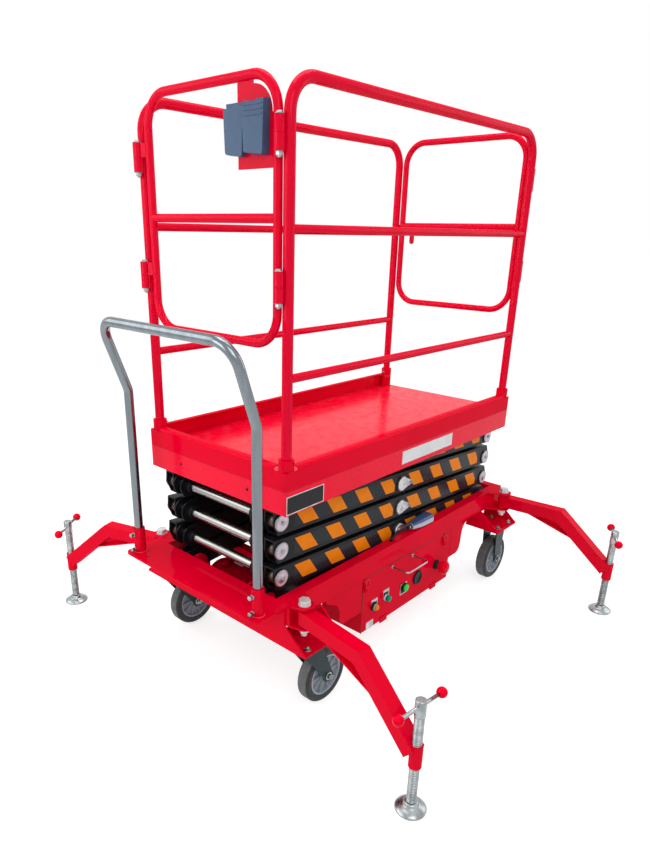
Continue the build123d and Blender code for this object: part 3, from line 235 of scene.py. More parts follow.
tape_dark = plastic("tape_dark", (0.014, 0.018, 0.022), 0.22, edge=0.05 * MM)
tape_navy = plastic("tape_navy", (0.006, 0.008, 0.035), 0.25, edge=0.05 * MM)


def tyre_material():
    """Black sidewalls with a dusty grey tread."""
    f = Finish("tyre_rubber", (0.020, 0.020, 0.022), 0.55, spec=0.4)
    tread = f.ramp(f.facing("Y"), 0.55, 0.25, 0.0, 1.0)
    dusty = f.node("ShaderNodeMath", operation="MULTIPLY")
    f.link(tread, dusty.inputs[0])
    f.link(f.ramp(f.noise(45.0, 5.0), 0.25, 0.7, 0.55, 1.0), dusty.inputs[1])
    f.mix_color(dusty.outputs[0], (0.115, 0.125, 0.128))
    f.vary_rough(f.noise(70.0), 0.5, 0.7)
    f.round_edges(1.0 * MM)
    return f.material


def floor_plate_material():
    """Deck floor: glossy red enamel on thin plate with uneven roughness, and painted sheen in pale clouds on its
    upward faces.
    """
    f = Finish("deck_enamel", (0.86, 0.002, 0.030), 0.22, coat=0.10, coat_rough=0.05, spec=0.06)
    f.mix_color(f.ramp(f.noise(4.0), 0.35, 0.75, 0.0, 0.5), (0.70, 0.0, 0.02))
    # Painted sheen: paler red clouds on upward faces only, standing in for reflections on the glossy floor.
    up = f.ramp(f.facing("Z"), 0.9, 1.0)
    painted_sheen = f.node("ShaderNodeMath", operation="MULTIPLY")
    f.link(up, painted_sheen.inputs[0])
    f.link(f.ramp(f.noise(22.0, 7.0, 0.65), 0.50, 0.80, 0.0, 0.35), painted_sheen.inputs[1])
    f.mix_color(painted_sheen.outputs[0], (0.86, 0.10, 0.12))
    f.vary_rough(f.noise(30.0, 4.0), 0.16, 0.36)
    f.round_edges(1.0 * MM)
    f.bump(f.noise(7.0, 1.0), 0.7 * MM, 0.5)
    return f.material


def plug_material():
    """Blue shell on a dull metal lower half."""
    f = Finish("plug_shell", (0.42, 0.46, 0.50), 0.34, spec=0.5)
    split = f.node("ShaderNodeSeparateXYZ")
    f.link(f.coords, split.inputs["Vector"])
    f.mix_color(f.ramp(split.outputs["Z"], 0.4665, 0.4672), (0.035, 0.075, 0.22))
    f.vary_rough(f.noise(80.0), 0.28, 0.42)
    f.round_edges(2.0 * MM)
    return f.material


tyre = tyre_material()
deck_red = floor_plate_material()
plug_shell = plug_material()

# ------------------------------------------------------------------------ finishes of the CAD nodes
NODE_FINISH = [
    ("inner_arms", arm_black), ("outer_arms", arm_black), ("ram_barrel", arm_black),
    ("ram_rod", chrome), ("cross_pins", tube_steel), ("deck_rollers", zinc),
    ("pivot_bolts", bolt_zinc), ("caster_plates", zinc), ("push_handle", handle_grey),
    ("fork_", fork_green), ("hub_", hub_grey), ("tyre_", tyre), ("guard_rail", red_rail),
    ("end_panel", red_rail), ("gate", red_rail), ("document_holder", holder_blue),
    ("door_pull", zinc), ("plug", plug_shell), ("cord", cord_black), ("power_unit", tank_red),
    ("deck", deck_red), ("jack_", zinc), ("door_controls", black_plastic),
]
for node_name, node in nodes.items():
    finish_of_node = red
    for start, material in NODE_FINISH:
        if node_name.startswith(start):
            finish_of_node = material
            break
    for material_slot in node.material_slots:
        material_slot.material = finish_of_node


# ------------------------------------------------------------------------ shapes
def turned_to(axis):
    """Matrix that turns +Z to the axis."""
    return Vector(axis).normalized().to_track_quat("Z", "Y").to_matrix().to_4x4()


class Piece:
    """One named mesh that rides on a CAD body, gathered from simple shapes."""

    def __init__(self, name, body, material):
        self.name, self.body, self.material = name, body, material
        self.mesh = bmesh.new()

    def surface(self, rows, closed_rows=True, caps=(True, True), smooth=True):
        """Skin over rows of points. Each row is closed into a ring when closed_rows is true."""
        made = [[self.mesh.verts.new(p) for p in row] for row in rows]
        count = len(made[0])
        last = count if closed_rows else count - 1
        for a, b in zip(made, made[1:]):
            for i in range(last):
                j = (i + 1) % count
                face = self.mesh.faces.new((a[i], a[j], b[j], b[i]))
                face.smooth = smooth
        if caps[0]:
            self.mesh.faces.new(list(reversed(made[0])))
        if caps[1]:
            self.mesh.faces.new(made[-1])
        return self

    def lathe(self, centre, axis, profile, steps=32, smooth=True):
        """Turned shape: profile is a list of (radius, height) from bottom to top."""
        turn = Matrix.Translation(Vector(centre)) @ turned_to(axis)
        rows = []
        for radius, height in profile:
            row = []
            for i in range(steps):
                a = 2 * math.pi * i / steps
                row.append(turn @ Vector((radius * math.cos(a), radius * math.sin(a), height)))
            rows.append(row)
        return self.surface(rows, smooth=smooth)

    def prism(self, outline, base, x_dir, normal, depth, chamfer=0.0):
        """Extrudes an outline of (u, v) points from its plane along the normal."""
        normal = Vector(normal).normalized()
        x_dir = Vector(x_dir).normalized()
        y_dir = normal.cross(x_dir)
        mid_u = sum(p[0] for p in outline) / len(outline)
        mid_v = sum(p[1] for p in outline) / len(outline)

        def row(height, shrink):
            points = []
            for u, v in outline:
                du, dv = u - mid_u, v - mid_v
                size = math.hypot(du, dv) or 1.0
                k = 1 - shrink / size
                points.append(Vector(base) + x_dir * (mid_u + du * k) + y_dir * (mid_v + dv * k)
                              + normal * height)
            return points

        rows = [row(0, 0), row(depth - chamfer, 0)]
        if chamfer:
            rows.append(row(depth, chamfer))
        return self.surface(rows, smooth=False)

    def hexagon(self, centre, axis, radius, height, turn=0.0):
        """Hexagon head with its corners broken."""
        spin = Matrix.Translation(Vector(centre)) @ turned_to(axis) @ Matrix.Rotation(turn, 4, "Z")
        rows = []
        for r, h in ((radius, 0), (radius, height * 0.8), (radius * 0.88, height)):
            rows.append([spin @ Vector((r * math.cos(math.pi * i / 3), r * math.sin(math.pi * i / 3), h))
                         for i in range(6)])
        return self.surface(rows, smooth=False)

    def bolt(self, centre, axis, radius, washer=True, stud=True, turn=0.0):
        """Bolt head with its washer and the stud's rounded end."""
        axis = Vector(axis).normalized()
        centre = Vector(centre)
        lift = 0.0
        if washer:
            lift = radius * 0.28
            self.lathe(centre, axis, [(radius * 1.45, 0), (radius * 1.45, lift * 0.8),
                                      (radius * 1.38, lift), (radius * 0.6, lift)], 24)
        self.hexagon(centre + axis * lift, axis, radius, radius * 0.95, turn)
        if stud:
            top = lift + radius * 0.95
            self.lathe(centre + axis * top, axis, [(radius * 0.5, -0.0005), (radius * 0.5, radius * 0.3),
                                                  (radius * 0.36, radius * 0.42)], 16)
        return self

    def weld(self, centre, axis, radius, bead=2.4 * MM, arc=(0.0, 360.0)):
        """Rippled bead laid round a tube's end."""
        turn = Matrix.Translation(Vector(centre)) @ turned_to(axis)
        whole = arc[1] - arc[0] >= 360
        steps = max(12, int((arc[1] - arc[0]) / 360 * 2 * math.pi * radius / (1.1 * MM)))
        rows = []
        for i in range(steps if whole else steps + 1):
            a = math.radians(arc[0] + (arc[1] - arc[0]) * i / steps)
            uneven = noise.noise(Vector((a * 5, radius * 90, centre[2] * 7)))
            ripple = 1 + 0.16 * math.sin(i * 2 * math.pi / 3) + 0.18 * uneven
            r = bead * ripple
            out = Vector((math.cos(a), math.sin(a), 0))
            rows.append([turn @ (out * (radius + r * math.cos(b)) + Vector((0, 0, r * math.sin(b))))
                         for b in (math.pi * k / 3 for k in range(6))])
        if whole:
            rows.append(rows[0])
            return self.surface(rows, caps=(False, False))
        return self.surface(rows)

    def tube(self, points, radius, steps=12, caps=(True, True)):
        """Round bar along a list of points."""
        points = [Vector(p) for p in points]
        rows = []
        side = None
        for i, p in enumerate(points):
            ahead = points[min(i + 1, len(points) - 1)] - points[max(i - 1, 0)]
            ahead.normalize()
            if side is None:
                side = ahead.orthogonal().normalized()
            side = (side - ahead * side.dot(ahead)).normalized()
            up = ahead.cross(side)
            r = radius[i] if isinstance(radius, (list, tuple)) else radius
            angles = [2 * math.pi * k / steps for k in range(steps)]
            rows.append([p + (side * math.cos(a) + up * math.sin(a)) * r for a in angles])
        return self.surface(rows, caps=caps)

    def done(self, bevel=0.0, keep_flat=40):
        """Turns the shapes into a Blender object that rides on its body."""
        bmesh.ops.remove_doubles(self.mesh, verts=self.mesh.verts, dist=1e-6)
        bmesh.ops.recalc_face_normals(self.mesh, faces=self.mesh.faces)
        data = bpy.data.meshes.new(self.name)
        self.mesh.to_mesh(data)
        self.mesh.free()
        made = bpy.data.objects.new(self.name, data)
        bpy.context.scene.collection.objects.link(made)
        made.data.materials.append(self.material)
        if bevel:
            soft = made.modifiers.new("soft_edges", "BEVEL")
            soft.width = bevel
            soft.segments = 2
            soft.limit_method = "ANGLE"
            soft.angle_limit = math.radians(keep_flat)
        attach(made, self.body)
        return made


# ------------------------------------------------------------------------ camera
def camera():
    """Camera at the photograph's place: a 28 mm lens at standing eye height off the near corner."""
    data = bpy.data.cameras.new("camera")
    data.sensor_width = 36
    data.lens = 27.85
    data.shift_x = 0.0301
    data.shift_y = 0.0704
    made = bpy.data.objects.new("camera", data)
    bpy.context.scene.collection.objects.link(made)
    made.location = (-2.0160, -1.6014, 1.5653)
    made.rotation_euler = [math.radians(a) for a in (68.854, -0.991, -47.274)]
    bpy.context.scene.camera = made


camera()

# ------------------------------------------------------------------------ charging lead
cord_route = [
    (-0.0592, -0.308, 0.4273), (-0.0592, -0.308, 0.4493), (-0.0392, -0.311, 0.4633),
    (-0.0062, -0.306, 0.4683), (0.0288, -0.308, 0.4607), (0.0588, -0.308, 0.4607),
]


def nurbs(name, bevel):
    """The lead's route as one NURBS spline."""
    data = bpy.data.curves.new(name, "CURVE")
    data.dimensions = "3D"
    data.bevel_depth = bevel
    data.bevel_resolution = 5
    data.resolution_u = 16
    spline = data.splines.new("NURBS")
    spline.points.add(len(cord_route) - 1)
    for point, place in zip(spline.points, cord_route):
        point.co = (*place, 1)
    spline.order_u = 3
    spline.use_endpoint_u = True
    made = bpy.data.objects.new(name, data)
    bpy.context.scene.collection.objects.link(made)
    return made


def charging_lead():
    """Lead with its tapered relief at the hole and the ribbed gland of its plug."""
    line = nurbs("lead_line", 0.0)
    sampled = bpy.data.meshes.new_from_object(line)
    points = [v.co.copy() for v in sampled.vertices]
    bpy.data.objects.remove(line)
    relief = Piece("lead_relief", "chassis", black_plastic)
    run, stations, radii = 0.0, [], []
    for a, b in zip(points, points[1:]):
        if run > 32 * MM:
            break
        stations.append(a)
        radii.append((8.4 - 3.8 * run / (32 * MM) - (0.5 if len(radii) % 2 else 0.0)) * MM)
        run += (b - a).length
    relief.tube(stations, radii, 20)
    relief_object = relief.done()
    end = Vector(cord_route[-1])
    gland = Piece("plug_gland", "chassis", black_plastic)
    profile = mms((5.0, -13))
    for i in range(9):
        h = (-12 + 3.5 * i) * MM
        r = (5.6 + 0.55 * i) * MM
        groove = r - 1.0 * MM
        profile += [(r, h), (r, h + 2.0 * MM), (groove, h + 2.2 * MM), (groove, h + 3.3 * MM)]
    gland.lathe(end, X, profile + mms((8.2, 20)), 32)
    gland_object = gland.done()
    ring = Piece("plug_ring", "chassis", plug_grey)
    ring.lathe(end + X * 12 * MM, X, mms((12.6, 0), (13.6, 0.8), (13.6, 4), (12.6, 4.8)), 36)
    ring_object = ring.done()
    lead = nurbs("charging_lead", 0.004)
    lead.data.materials.append(cord_black)
    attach(lead, "chassis")
    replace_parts(lead, "cord")


charging_lead()

# ------------------------------------------------------------------------ scissor
arm_foot = joint_at("scissor_lift")
arm_head = joint_at("outer_2_foot")
arm_span = arm_head.x - arm_foot.x
level_pitch = arm_head.z - arm_foot.z
outer_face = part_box("outer_arms_1")[1].y
LEVELS = 4
tape_half = 29 * MM
tape_slant = 46 * MM
tape_pitch = 155.5 * MM
block_length = 76 * MM
navy_width = 3 * MM
TAPES = [(64 * MM, 632 * MM, 64 * MM), (720 * MM, 1290 * MM, 719 * MM)]  # start, end, first block


def clipped(outline, low, high):
    """Cuts an outline of (u, v) points to low <= u <= high."""
    for limit, keep in ((low, 1), (high, -1)):
        out = []
        for (u0, v0), (u1, v1) in zip(outline, outline[1:] + outline[:1]):
            inside0, inside1 = (u0 - limit) * keep >= 0, (u1 - limit) * keep >= 0
            if inside0:
                out.append((u0, v0))
            if inside0 != inside1:
                t = (limit - u0) / (u1 - u0)
                out.append((limit, v0 + t * (v1 - v0)))
        outline = out
    return outline


def hazard_tape(level):
    """Slanted amber blocks with navy edges on dark tape, on the outer faces of one pair of arms."""
    start = arm_foot + Z * (level_pitch * level - 2 * MM)
    along = Vector((arm_span, 0, 13 * MM - level_pitch)).normalized()
    body = f"outer_{level}"
    dark = Piece(f"arm_tape_{level}", body, tape_dark)
    navy = Piece(f"arm_tape_edges_{level}", body, tape_navy)
    amber = Piece(f"arm_tape_blocks_{level}", body, tape_amber)
    for side in (-1, 1):
        normal = Y * side
        x_dir = along if side < 0 else -along
        base = Vector((start.x, side * outer_face, start.z))

        def place(outline):
            return outline if side < 0 else [(-u, v) for u, v in reversed(outline)]

        for low, high, first in TAPES:
            strip = [(low, -tape_half), (high, -tape_half), (high, tape_half), (low, tape_half)]
            dark.prism(place(strip), base, x_dir, normal, 0.18 * MM)
            u = first
            while u < high:
                block = [(u + tape_slant, -tape_half), (u + tape_slant + block_length, -tape_half),
                         (u + block_length, tape_half), (u, tape_half)]
                edge = [(u + tape_slant - navy_width, -tape_half),
                        (u + tape_slant + block_length + navy_width, -tape_half),
                        (u + block_length + navy_width, tape_half), (u - navy_width, tape_half)]
                cut = clipped(edge, low, high)
                if len(cut) > 2:
                    navy.prism(place(cut), base, x_dir, normal, 0.26 * MM)
                cut = clipped(block, low, high)
                if len(cut) > 2:
                    amber.prism(place(cut), base, x_dir, normal, 0.34 * MM)
                u += tape_pitch
    for piece in (dark, navy, amber):
        piece.done()


def pin_caps(level):
    """Turned covers over the ends of the pins, and the lock plates of the middle ones."""
    start = arm_foot + Z * level_pitch * level
    mid = (arm_foot.x + arm_span / 2, start.z - level_pitch / 2)
    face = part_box("cross_pins_2")[1].y
    places = [(start.x, start.z), (arm_head.x, start.z - level_pitch)]
    if level == 1:
        places = places[:1]
    if level == LEVELS:
        places = places[1:]
    cap = Piece(f"pin_caps_{level}", f"outer_{level}", cap_steel)
    rim = Piece(f"pin_cap_rims_{level}", f"outer_{level}", cap_rim)
    nut = Piece(f"pin_cap_bolts_{level}", f"outer_{level}", zinc)
    lock = Piece(f"pin_locks_{level}", f"outer_{level}", label_silver)
    for side in (-1, 1):
        out = Y * side
        for x, z in places:
            at = Vector((x, side * face, z))
            cap.lathe(at, out, mms((27, -1), (27, 1.2), (25.5, 1.6), (24, 0.9), (12, 0.9), (11, 1.8),
                                   (5, 1.9)), 48)
            rim.lathe(at, out, mms((30.3, -5), (30.3, 0.6), (29, 1.0), (26.8, 0.7)), 48)
            nut.hexagon(at + out * 1.5 * MM, out, 6.8 * MM, 4.5 * MM, turn=x + z)
            nut.lathe(at + out * 6 * MM, out, mms((3.2, -0.5), (3.2, 2), (1.8, 3.5)), 16)
        # teardrop plate: a dished disc and a tail with its bolt, pointing to the gate
        at = Vector((mid[0], side * face, mid[1]))
        lock.lathe(at, out, mms((28, -4.5), (28, 2), (26, 3.4), (21, 3.6), (16, 2.0), (9, 1.6), (8, 3.4),
                                (1, 4)), 48)
        tail = mm(54, 0, -6)
        x_dir = tail.normalized()
        outline = mms((4, -27), (50, -11), (60, -8), (65, 0), (60, 8), (50, 11), (4, 27))
        if side > 0:
            outline = [(-u, v) for u, v in reversed(outline)]
            x_dir = -x_dir
        lock.prism(outline, at - out * 4.6 * MM, x_dir, out, 6.6 * MM, 0.8 * MM)
        nut.bolt(at + tail + out * 2 * MM, out, 6 * MM, turn=0.4)
    for piece in (cap, rim, nut, lock):
        piece.done()


def arm_end_bushes(level):
    """Bronze bushes seen inside the open ends of the outer arms."""
    start = arm_foot + Z * level_pitch * level
    low_y, high_y = outer_face - 40 * MM, outer_face - 5 * MM
    bush_r = 25.4 * MM
    bush = Piece(f"arm_bushes_{level}", f"outer_{level}", bronze)
    for side in (-1, 1):
        for x, z in ((start.x, start.z), (arm_head.x, start.z - level_pitch)):
            bush.lathe((x, side * low_y, z), Y * side,
                       [(bush_r, 0.2 * MM), (bush_r, high_y - low_y - 0.2 * MM)], 40)
    bush.done()


for level in range(1, LEVELS + 1):
    hazard_tape(level)
    pin_caps(level)
    arm_end_bushes(level)


# ------------------------------------------------------------------------ jacks
tbar_turn = {"near_left": 37.0, "near_right": -7.0, "far_left": -28.0, "far_right": 28.0}
tbar_half = 91 * MM
tbar_z = 366 * MM
screw_r = 15 * MM
screw_top = 388 * MM
pad_r = 47 * MM
ball_r = 16.5 * MM
thread_pitch = 6 * MM


def threaded_screw(piece, centre, z0, z1):
    """Trapezoidal thread: one ridge wound round the core."""
    core = screw_r - 1.6 * MM
    root = core - 0.2 * MM
    piece.lathe(centre, Z, [(core, z0), (core, z1), (core - 2 * MM, z1 + 1.5 * MM)], 32)
    steps = 28
    turns = (z1 - z0 - thread_pitch) / thread_pitch
    rows = []
    for i in range(int(turns * steps) + 1):
        a = 2 * math.pi * i / steps
        z = z0 + thread_pitch * i / steps
        out = Vector((math.cos(a), math.sin(a), 0))
        row = []
        for r, dz in ((root, 0.5 * MM), (screw_r, 1.6 * MM), (screw_r, 3.4 * MM), (root, 4.5 * MM)):
            row.append(Vector(centre) + out * r + Z * (z + dz))
        rows.append(row)
    piece.surface(rows, closed_rows=False, caps=(False, False))


def jack(name):
    """Screw with its swivel pad and its T-bar with red balls."""
    body = f"jack_{name}"
    foot = Vector(mounts[f"jack_pad_{name}"]["pos_m"])
    a = math.radians(tbar_turn[name])
    along = Vector((math.cos(a), math.sin(a), 0))
    head = foot + Z * tbar_z
    screw = Piece(f"jack_screw_{name}", body, zinc)
    threaded_screw(screw, foot, 20 * MM, screw_top - 16 * MM)
    screw.lathe(foot, Z, [(screw_r, screw_top - 56 * MM), (screw_r + 1.5 * MM, screw_top - 54 * MM),
                          (screw_r + 1.5 * MM, screw_top - 2 * MM), (screw_r - 1 * MM, screw_top)], 32)
    screw.tube([head - along * tbar_half, head + along * tbar_half], 6 * MM, 20)
    screw.done()
    pad = Piece(f"jack_pad_{name}", body, zinc)
    outline = [(pad_r - 1 * MM, 0), (pad_r, 1.2 * MM), (pad_r, 5 * MM), (pad_r - 1.5 * MM, 6.5 * MM)]
    outline += mms((41, 10), (33, 14.6), (24, 16.6), (22, 19), (21, 26), (18.5, 28))
    pad.lathe(foot, Z, outline + [(screw_r, 28.5 * MM)], 56)
    pad_object = pad.done()
    balls = Piece(f"jack_balls_{name}", body, red_plastic)
    for end in (-1, 1):
        at = head + along * end * tbar_half
        profile = [(ball_r * math.sin(a), -ball_r * math.cos(a))
                   for a in (math.pi * k / 14 for k in range(15))]
        profile[0], profile[-1] = (0.3 * MM, -ball_r), (0.3 * MM, ball_r)
        balls.lathe(at, along, profile, 28)
    balls.done()
    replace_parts(pad_object, f"jack_{name}")


for corner in CORNERS:
    jack(corner)


# ------------------------------------------------------------------------ casters
def caster_details(name):
    """Axle nut and washers, and the top plate's bolts."""
    axle = joint_at(f"wheel_{name}_spin")
    low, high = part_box(f"fork_{name}")
    body = f"swivel_{name}" if name.startswith("near") else "chassis"
    nuts = Piece(f"axle_nuts_{name}", body, zinc)
    for side in (-1, 1):
        face = axle.y + side * 34.2 * MM
        nuts.bolt((axle.x, face, axle.z), Y * side, 10.5 * MM, turn=0.3)
    nuts.done(bevel=0.3 * MM)
    plate_mid = Vector(((low.x + high.x) / 2, (low.y + high.y) / 2, 0))
    if name.startswith("near"):
        plate_mid = Vector(joint_at(f"caster_{name}_swivel"))
    bolts = Piece(f"caster_bolts_{name}", "chassis", zinc)
    for dx in (-52, 52):
        for dy in (-42.5, 42.5):
            at = Vector((plate_mid.x + dx * MM, plate_mid.y + dy * MM, 280 * MM))
            bolts.bolt(at, Z, 8.5 * MM, turn=dx + dy)
            bolts.hexagon(Vector((at.x, at.y, 269 * MM)), -Z, 8.5 * MM, 7 * MM, turn=dx)
    bolts.done(bevel=0.3 * MM)


for corner in CORNERS:
    caster_details(corner)


# ------------------------------------------------------------------------ deck and rails
deck_low, deck_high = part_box("deck")
seam = deck_high.z - 8 * MM
corner_top = 889 * MM
post_x = 694 * MM
post_y = 315 * MM
deck_mid = (deck_low.x + deck_high.x) / 2


def plate(name, body, material, corners, y, proud):
    """Thin plate or label on an upright face seen from -Y; corners are (x, z) in millimetres."""
    piece = Piece(name, body, material)
    piece.prism(mms(*corners), (0, y, 0), X, -Y, proud * MM)
    return piece.done()


def rectangle(x0, x1, z0, z1):
    return [(x0, z0), (x1, z0), (x1, z1), (x0, z1)]


def deck_details():
    """Seam under the toe boards, black discs of painted shade in the drain holes, welds, and the blank plates on
    the skirt.
    """
    line = Piece("deck_seam", "platform", red_seam)
    for y, x_dir, normal in ((deck_low.y, X, -Y), (deck_high.y, -X, Y)):
        outline = mms((-719, -0.6), (719, -0.6), (719, 0.6), (-719, 0.6))
        line.prism(outline, (deck_mid, y, seam), x_dir, normal, 0.15 * MM)
    outline = mms((-338, -0.6), (338, -0.6), (338, 0.6), (-338, 0.6))
    line.prism(outline, (deck_low.x, 0, seam), -Y, -X, 0.15 * MM)
    line.done()
    # Black discs: painted shade inside the skirt's drain holes.
    holes = Piece("skirt_hole_shadows", "platform", black_plastic)
    for y in (172, -168):
        holes.lathe((deck_low.x, y * MM, 794 * MM), -X, mms((5.6, -0.3), (5.6, 0.25), (0.5, 0.2)), 24)
    holes.done()
    beads = Piece("socket_welds", "platform", red_weld)
    for sx in (-1, 1):
        for sy in (-1, 1):
            at = Vector((deck_mid + sx * post_x, sy * post_y, corner_top))
            middle = math.degrees(math.atan2(sy, sx))
            beads.weld(at, Z, 24 * MM, 2.6 * MM, (middle - 62, middle + 62))
    beads.done()
    face = deck_low.y
    plate("spec_plate", "platform", label_silver, rectangle(-687, -514, 753, 813), face, 0.4)
    plate("spec_plate_face", "platform", label_black, rectangle(-684, -517, 756, 810), face, 0.6)
    plate("sign_strip", "platform", label_silver, rectangle(-73, 278, 768, 818), face, 0.3)
    plate("sign_strip_face", "platform", label_white, rectangle(-71, 276, 770, 816), face, 0.45)


def rail_details():
    """Washers, bolt heads and nuts of the hinge knuckles, and the clamp bolts of the rail sockets."""
    knuckle = joint_at("gate_hinge")
    mirror_x = 2 * deck_mid - knuckle.x
    stacks = [(knuckle.x, knuckle.y, 1420), (knuckle.x, knuckle.y, 1770),
              (mirror_x, knuckle.y, 1420), (mirror_x, knuckle.y, 1793),
              (mirror_x, -knuckle.y, 1420), (mirror_x, -knuckle.y, 1767)]
    pins = Piece("hinge_bolts", "platform", zinc)
    for x, y, z in stacks:
        top = Vector((x, y, (z + 41.3) * MM))
        pins.lathe(top, Z, mms((12.5, 0.3), (12.5, 2.2), (11.8, 2.6), (6, 2.6)), 28)
        pins.hexagon(top + Z * 2.4 * MM, Z, 8.2 * MM, 5 * MM, turn=x + z)
        low = Vector((x, y, (z - 41) * MM))
        pins.lathe(low, -Z, mms((12.5, -0.2), (12.5, 1.6), (6, 1.8)), 28)
        pins.hexagon(low - Z * 1.6 * MM, -Z, 9.4 * MM, 9.5 * MM, turn=x)
        pins.lathe(low - Z * 10 * MM, -Z, mms((5.4, -0.5), (5.4, 4.2), (4, 5.2)), 16)
    pins.done()
    clamps = Piece("socket_bolts", "platform", zinc)
    for sx, sy in ((-1, 1), (1, 1)):
        at = Vector((deck_mid + sx * post_x - sx * 24 * MM, sy * post_y - 2 * MM, 908 * MM))
        clamps.bolt(at, -X * sx, 6.5 * MM, washer=False, turn=0.2)
    clamps.done()
    latch = Piece("gate_latch_screws", "gate", zinc)
    low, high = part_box("gate_latch")
    for z in (1594, 1536):
        latch.lathe((high.x, 248 * MM, z * MM), X, mms((4.5, -0.4), (4.5, 1.6), (3.0, 2.6)), 20)
    latch.done()


deck_details()
rail_details()


# ------------------------------------------------------------------------ chassis
handle_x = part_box("push_handle")[1].x - 16 * MM
beam_top = 441.3 * MM


def chassis_details():
    """Clamp bolts and welds of the handle's sockets, a black disc of painted shade in the end plate's hole, and
    the tank's label.
    """
    clamps = Piece("handle_bolts", "chassis", zinc)
    beads = Piece("chassis_welds", "chassis", red_weld)
    for side in (-1, 1):
        beads.weld((handle_x, side * 315 * MM, beam_top), Z, 21.2 * MM, 2.6 * MM)
        for z in (455, 513):
            at = Vector((handle_x - 20.6 * MM, side * 315 * MM, z * MM))
            clamps.hexagon(at, -X, 8.0 * MM, 5 * MM, turn=0.3)
            clamps.lathe(at - X * 5 * MM, -X, mms((4.2, -0.5), (4.2, 4), (7.2, 4.6), (7.6, 12), (6.4, 13.4),
                                                  (1, 13.6)), 24)
    clamps.done()
    beads.done()
    # Black disc: painted shade inside the end plate's hole.
    hole = Piece("tail_hole_shadow", "chassis", black_plastic)
    hole.lathe((-798 * MM, 253 * MM, beam_top), Z, mms((5, -0.3), (5, 0.2), (0.5, 0.15)), 24)
    hole.done()
    label = Piece("tank_label", "chassis", label_white)
    tank_x, tank_z, tank_r = -567.2 * MM, 320 * MM, 80.3 * MM
    rows = []
    for k in range(7):
        a = math.radians(8 + 3 * k)
        out = Vector((math.sin(a), 0, math.cos(a)))
        rows.append([Vector((tank_x, y * MM, tank_z)) + out * (tank_r + d * MM)
                     for y, d in ((8, 0), (57, 0), (57, 0.3), (8, 0.3))])
    label.surface(rows, smooth=False)
    label.done()


def hydraulic_tank():
    """Welded tank on two saddles off the upright end plate, with its filler and pump block."""
    end_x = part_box("power_unit")[0][0] / MM
    axis_x, axis_z, half = end_x + 112, 320, 130
    tank = Piece("hydraulic_tank", "chassis", tank_red)
    shell = [(52, 0), (66, 2), (75, 8), (80, 18), (80, 24), (81.5, 27), (80, 30)]
    shell += [(r, 2 * half - h) for r, h in reversed(shell)]
    tank.lathe(mm(axis_x, -half, axis_z), Y, mms(*shell), 48)
    for y in (-78, 78):
        band = [(78, -14), (82.5, -14), (82.5, 14), (78, 14)]
        tank.lathe(mm(axis_x, y, axis_z), Y, mms(*band), 48, smooth=False)
        saddle = [(end_x, 302), (end_x + 50, 262), (axis_x, 256), (axis_x, 372), (end_x, 384)]
        tank.prism(mms(*saddle), (0, (y + 3) * MM, 0), X, -Y, 6 * MM)
    back = [(end_x, 302), (end_x + 6, 302), (end_x + 6, 384), (end_x, 384)]
    tank.prism(mms(*back), (0, 0.110, 0), X, -Y, 0.220)
    block = [(axis_x + 30, 218), (axis_x + 84, 218), (axis_x + 84, 262), (axis_x + 30, 262)]
    tank.prism(mms(*block), (0, 0.010, 0), X, -Y, 0.070, 2 * MM)
    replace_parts(tank.done(), "power_unit")
    cap = Piece("tank_filler", "chassis", tank_red)
    neck = [(14, 0), (14, 18), (17, 18.5), (17, 30), (15, 33), (6, 34)]
    cap.lathe(mm(axis_x - 20, 60, axis_z + 60), Z, mms(*neck), 28)
    cap.done()


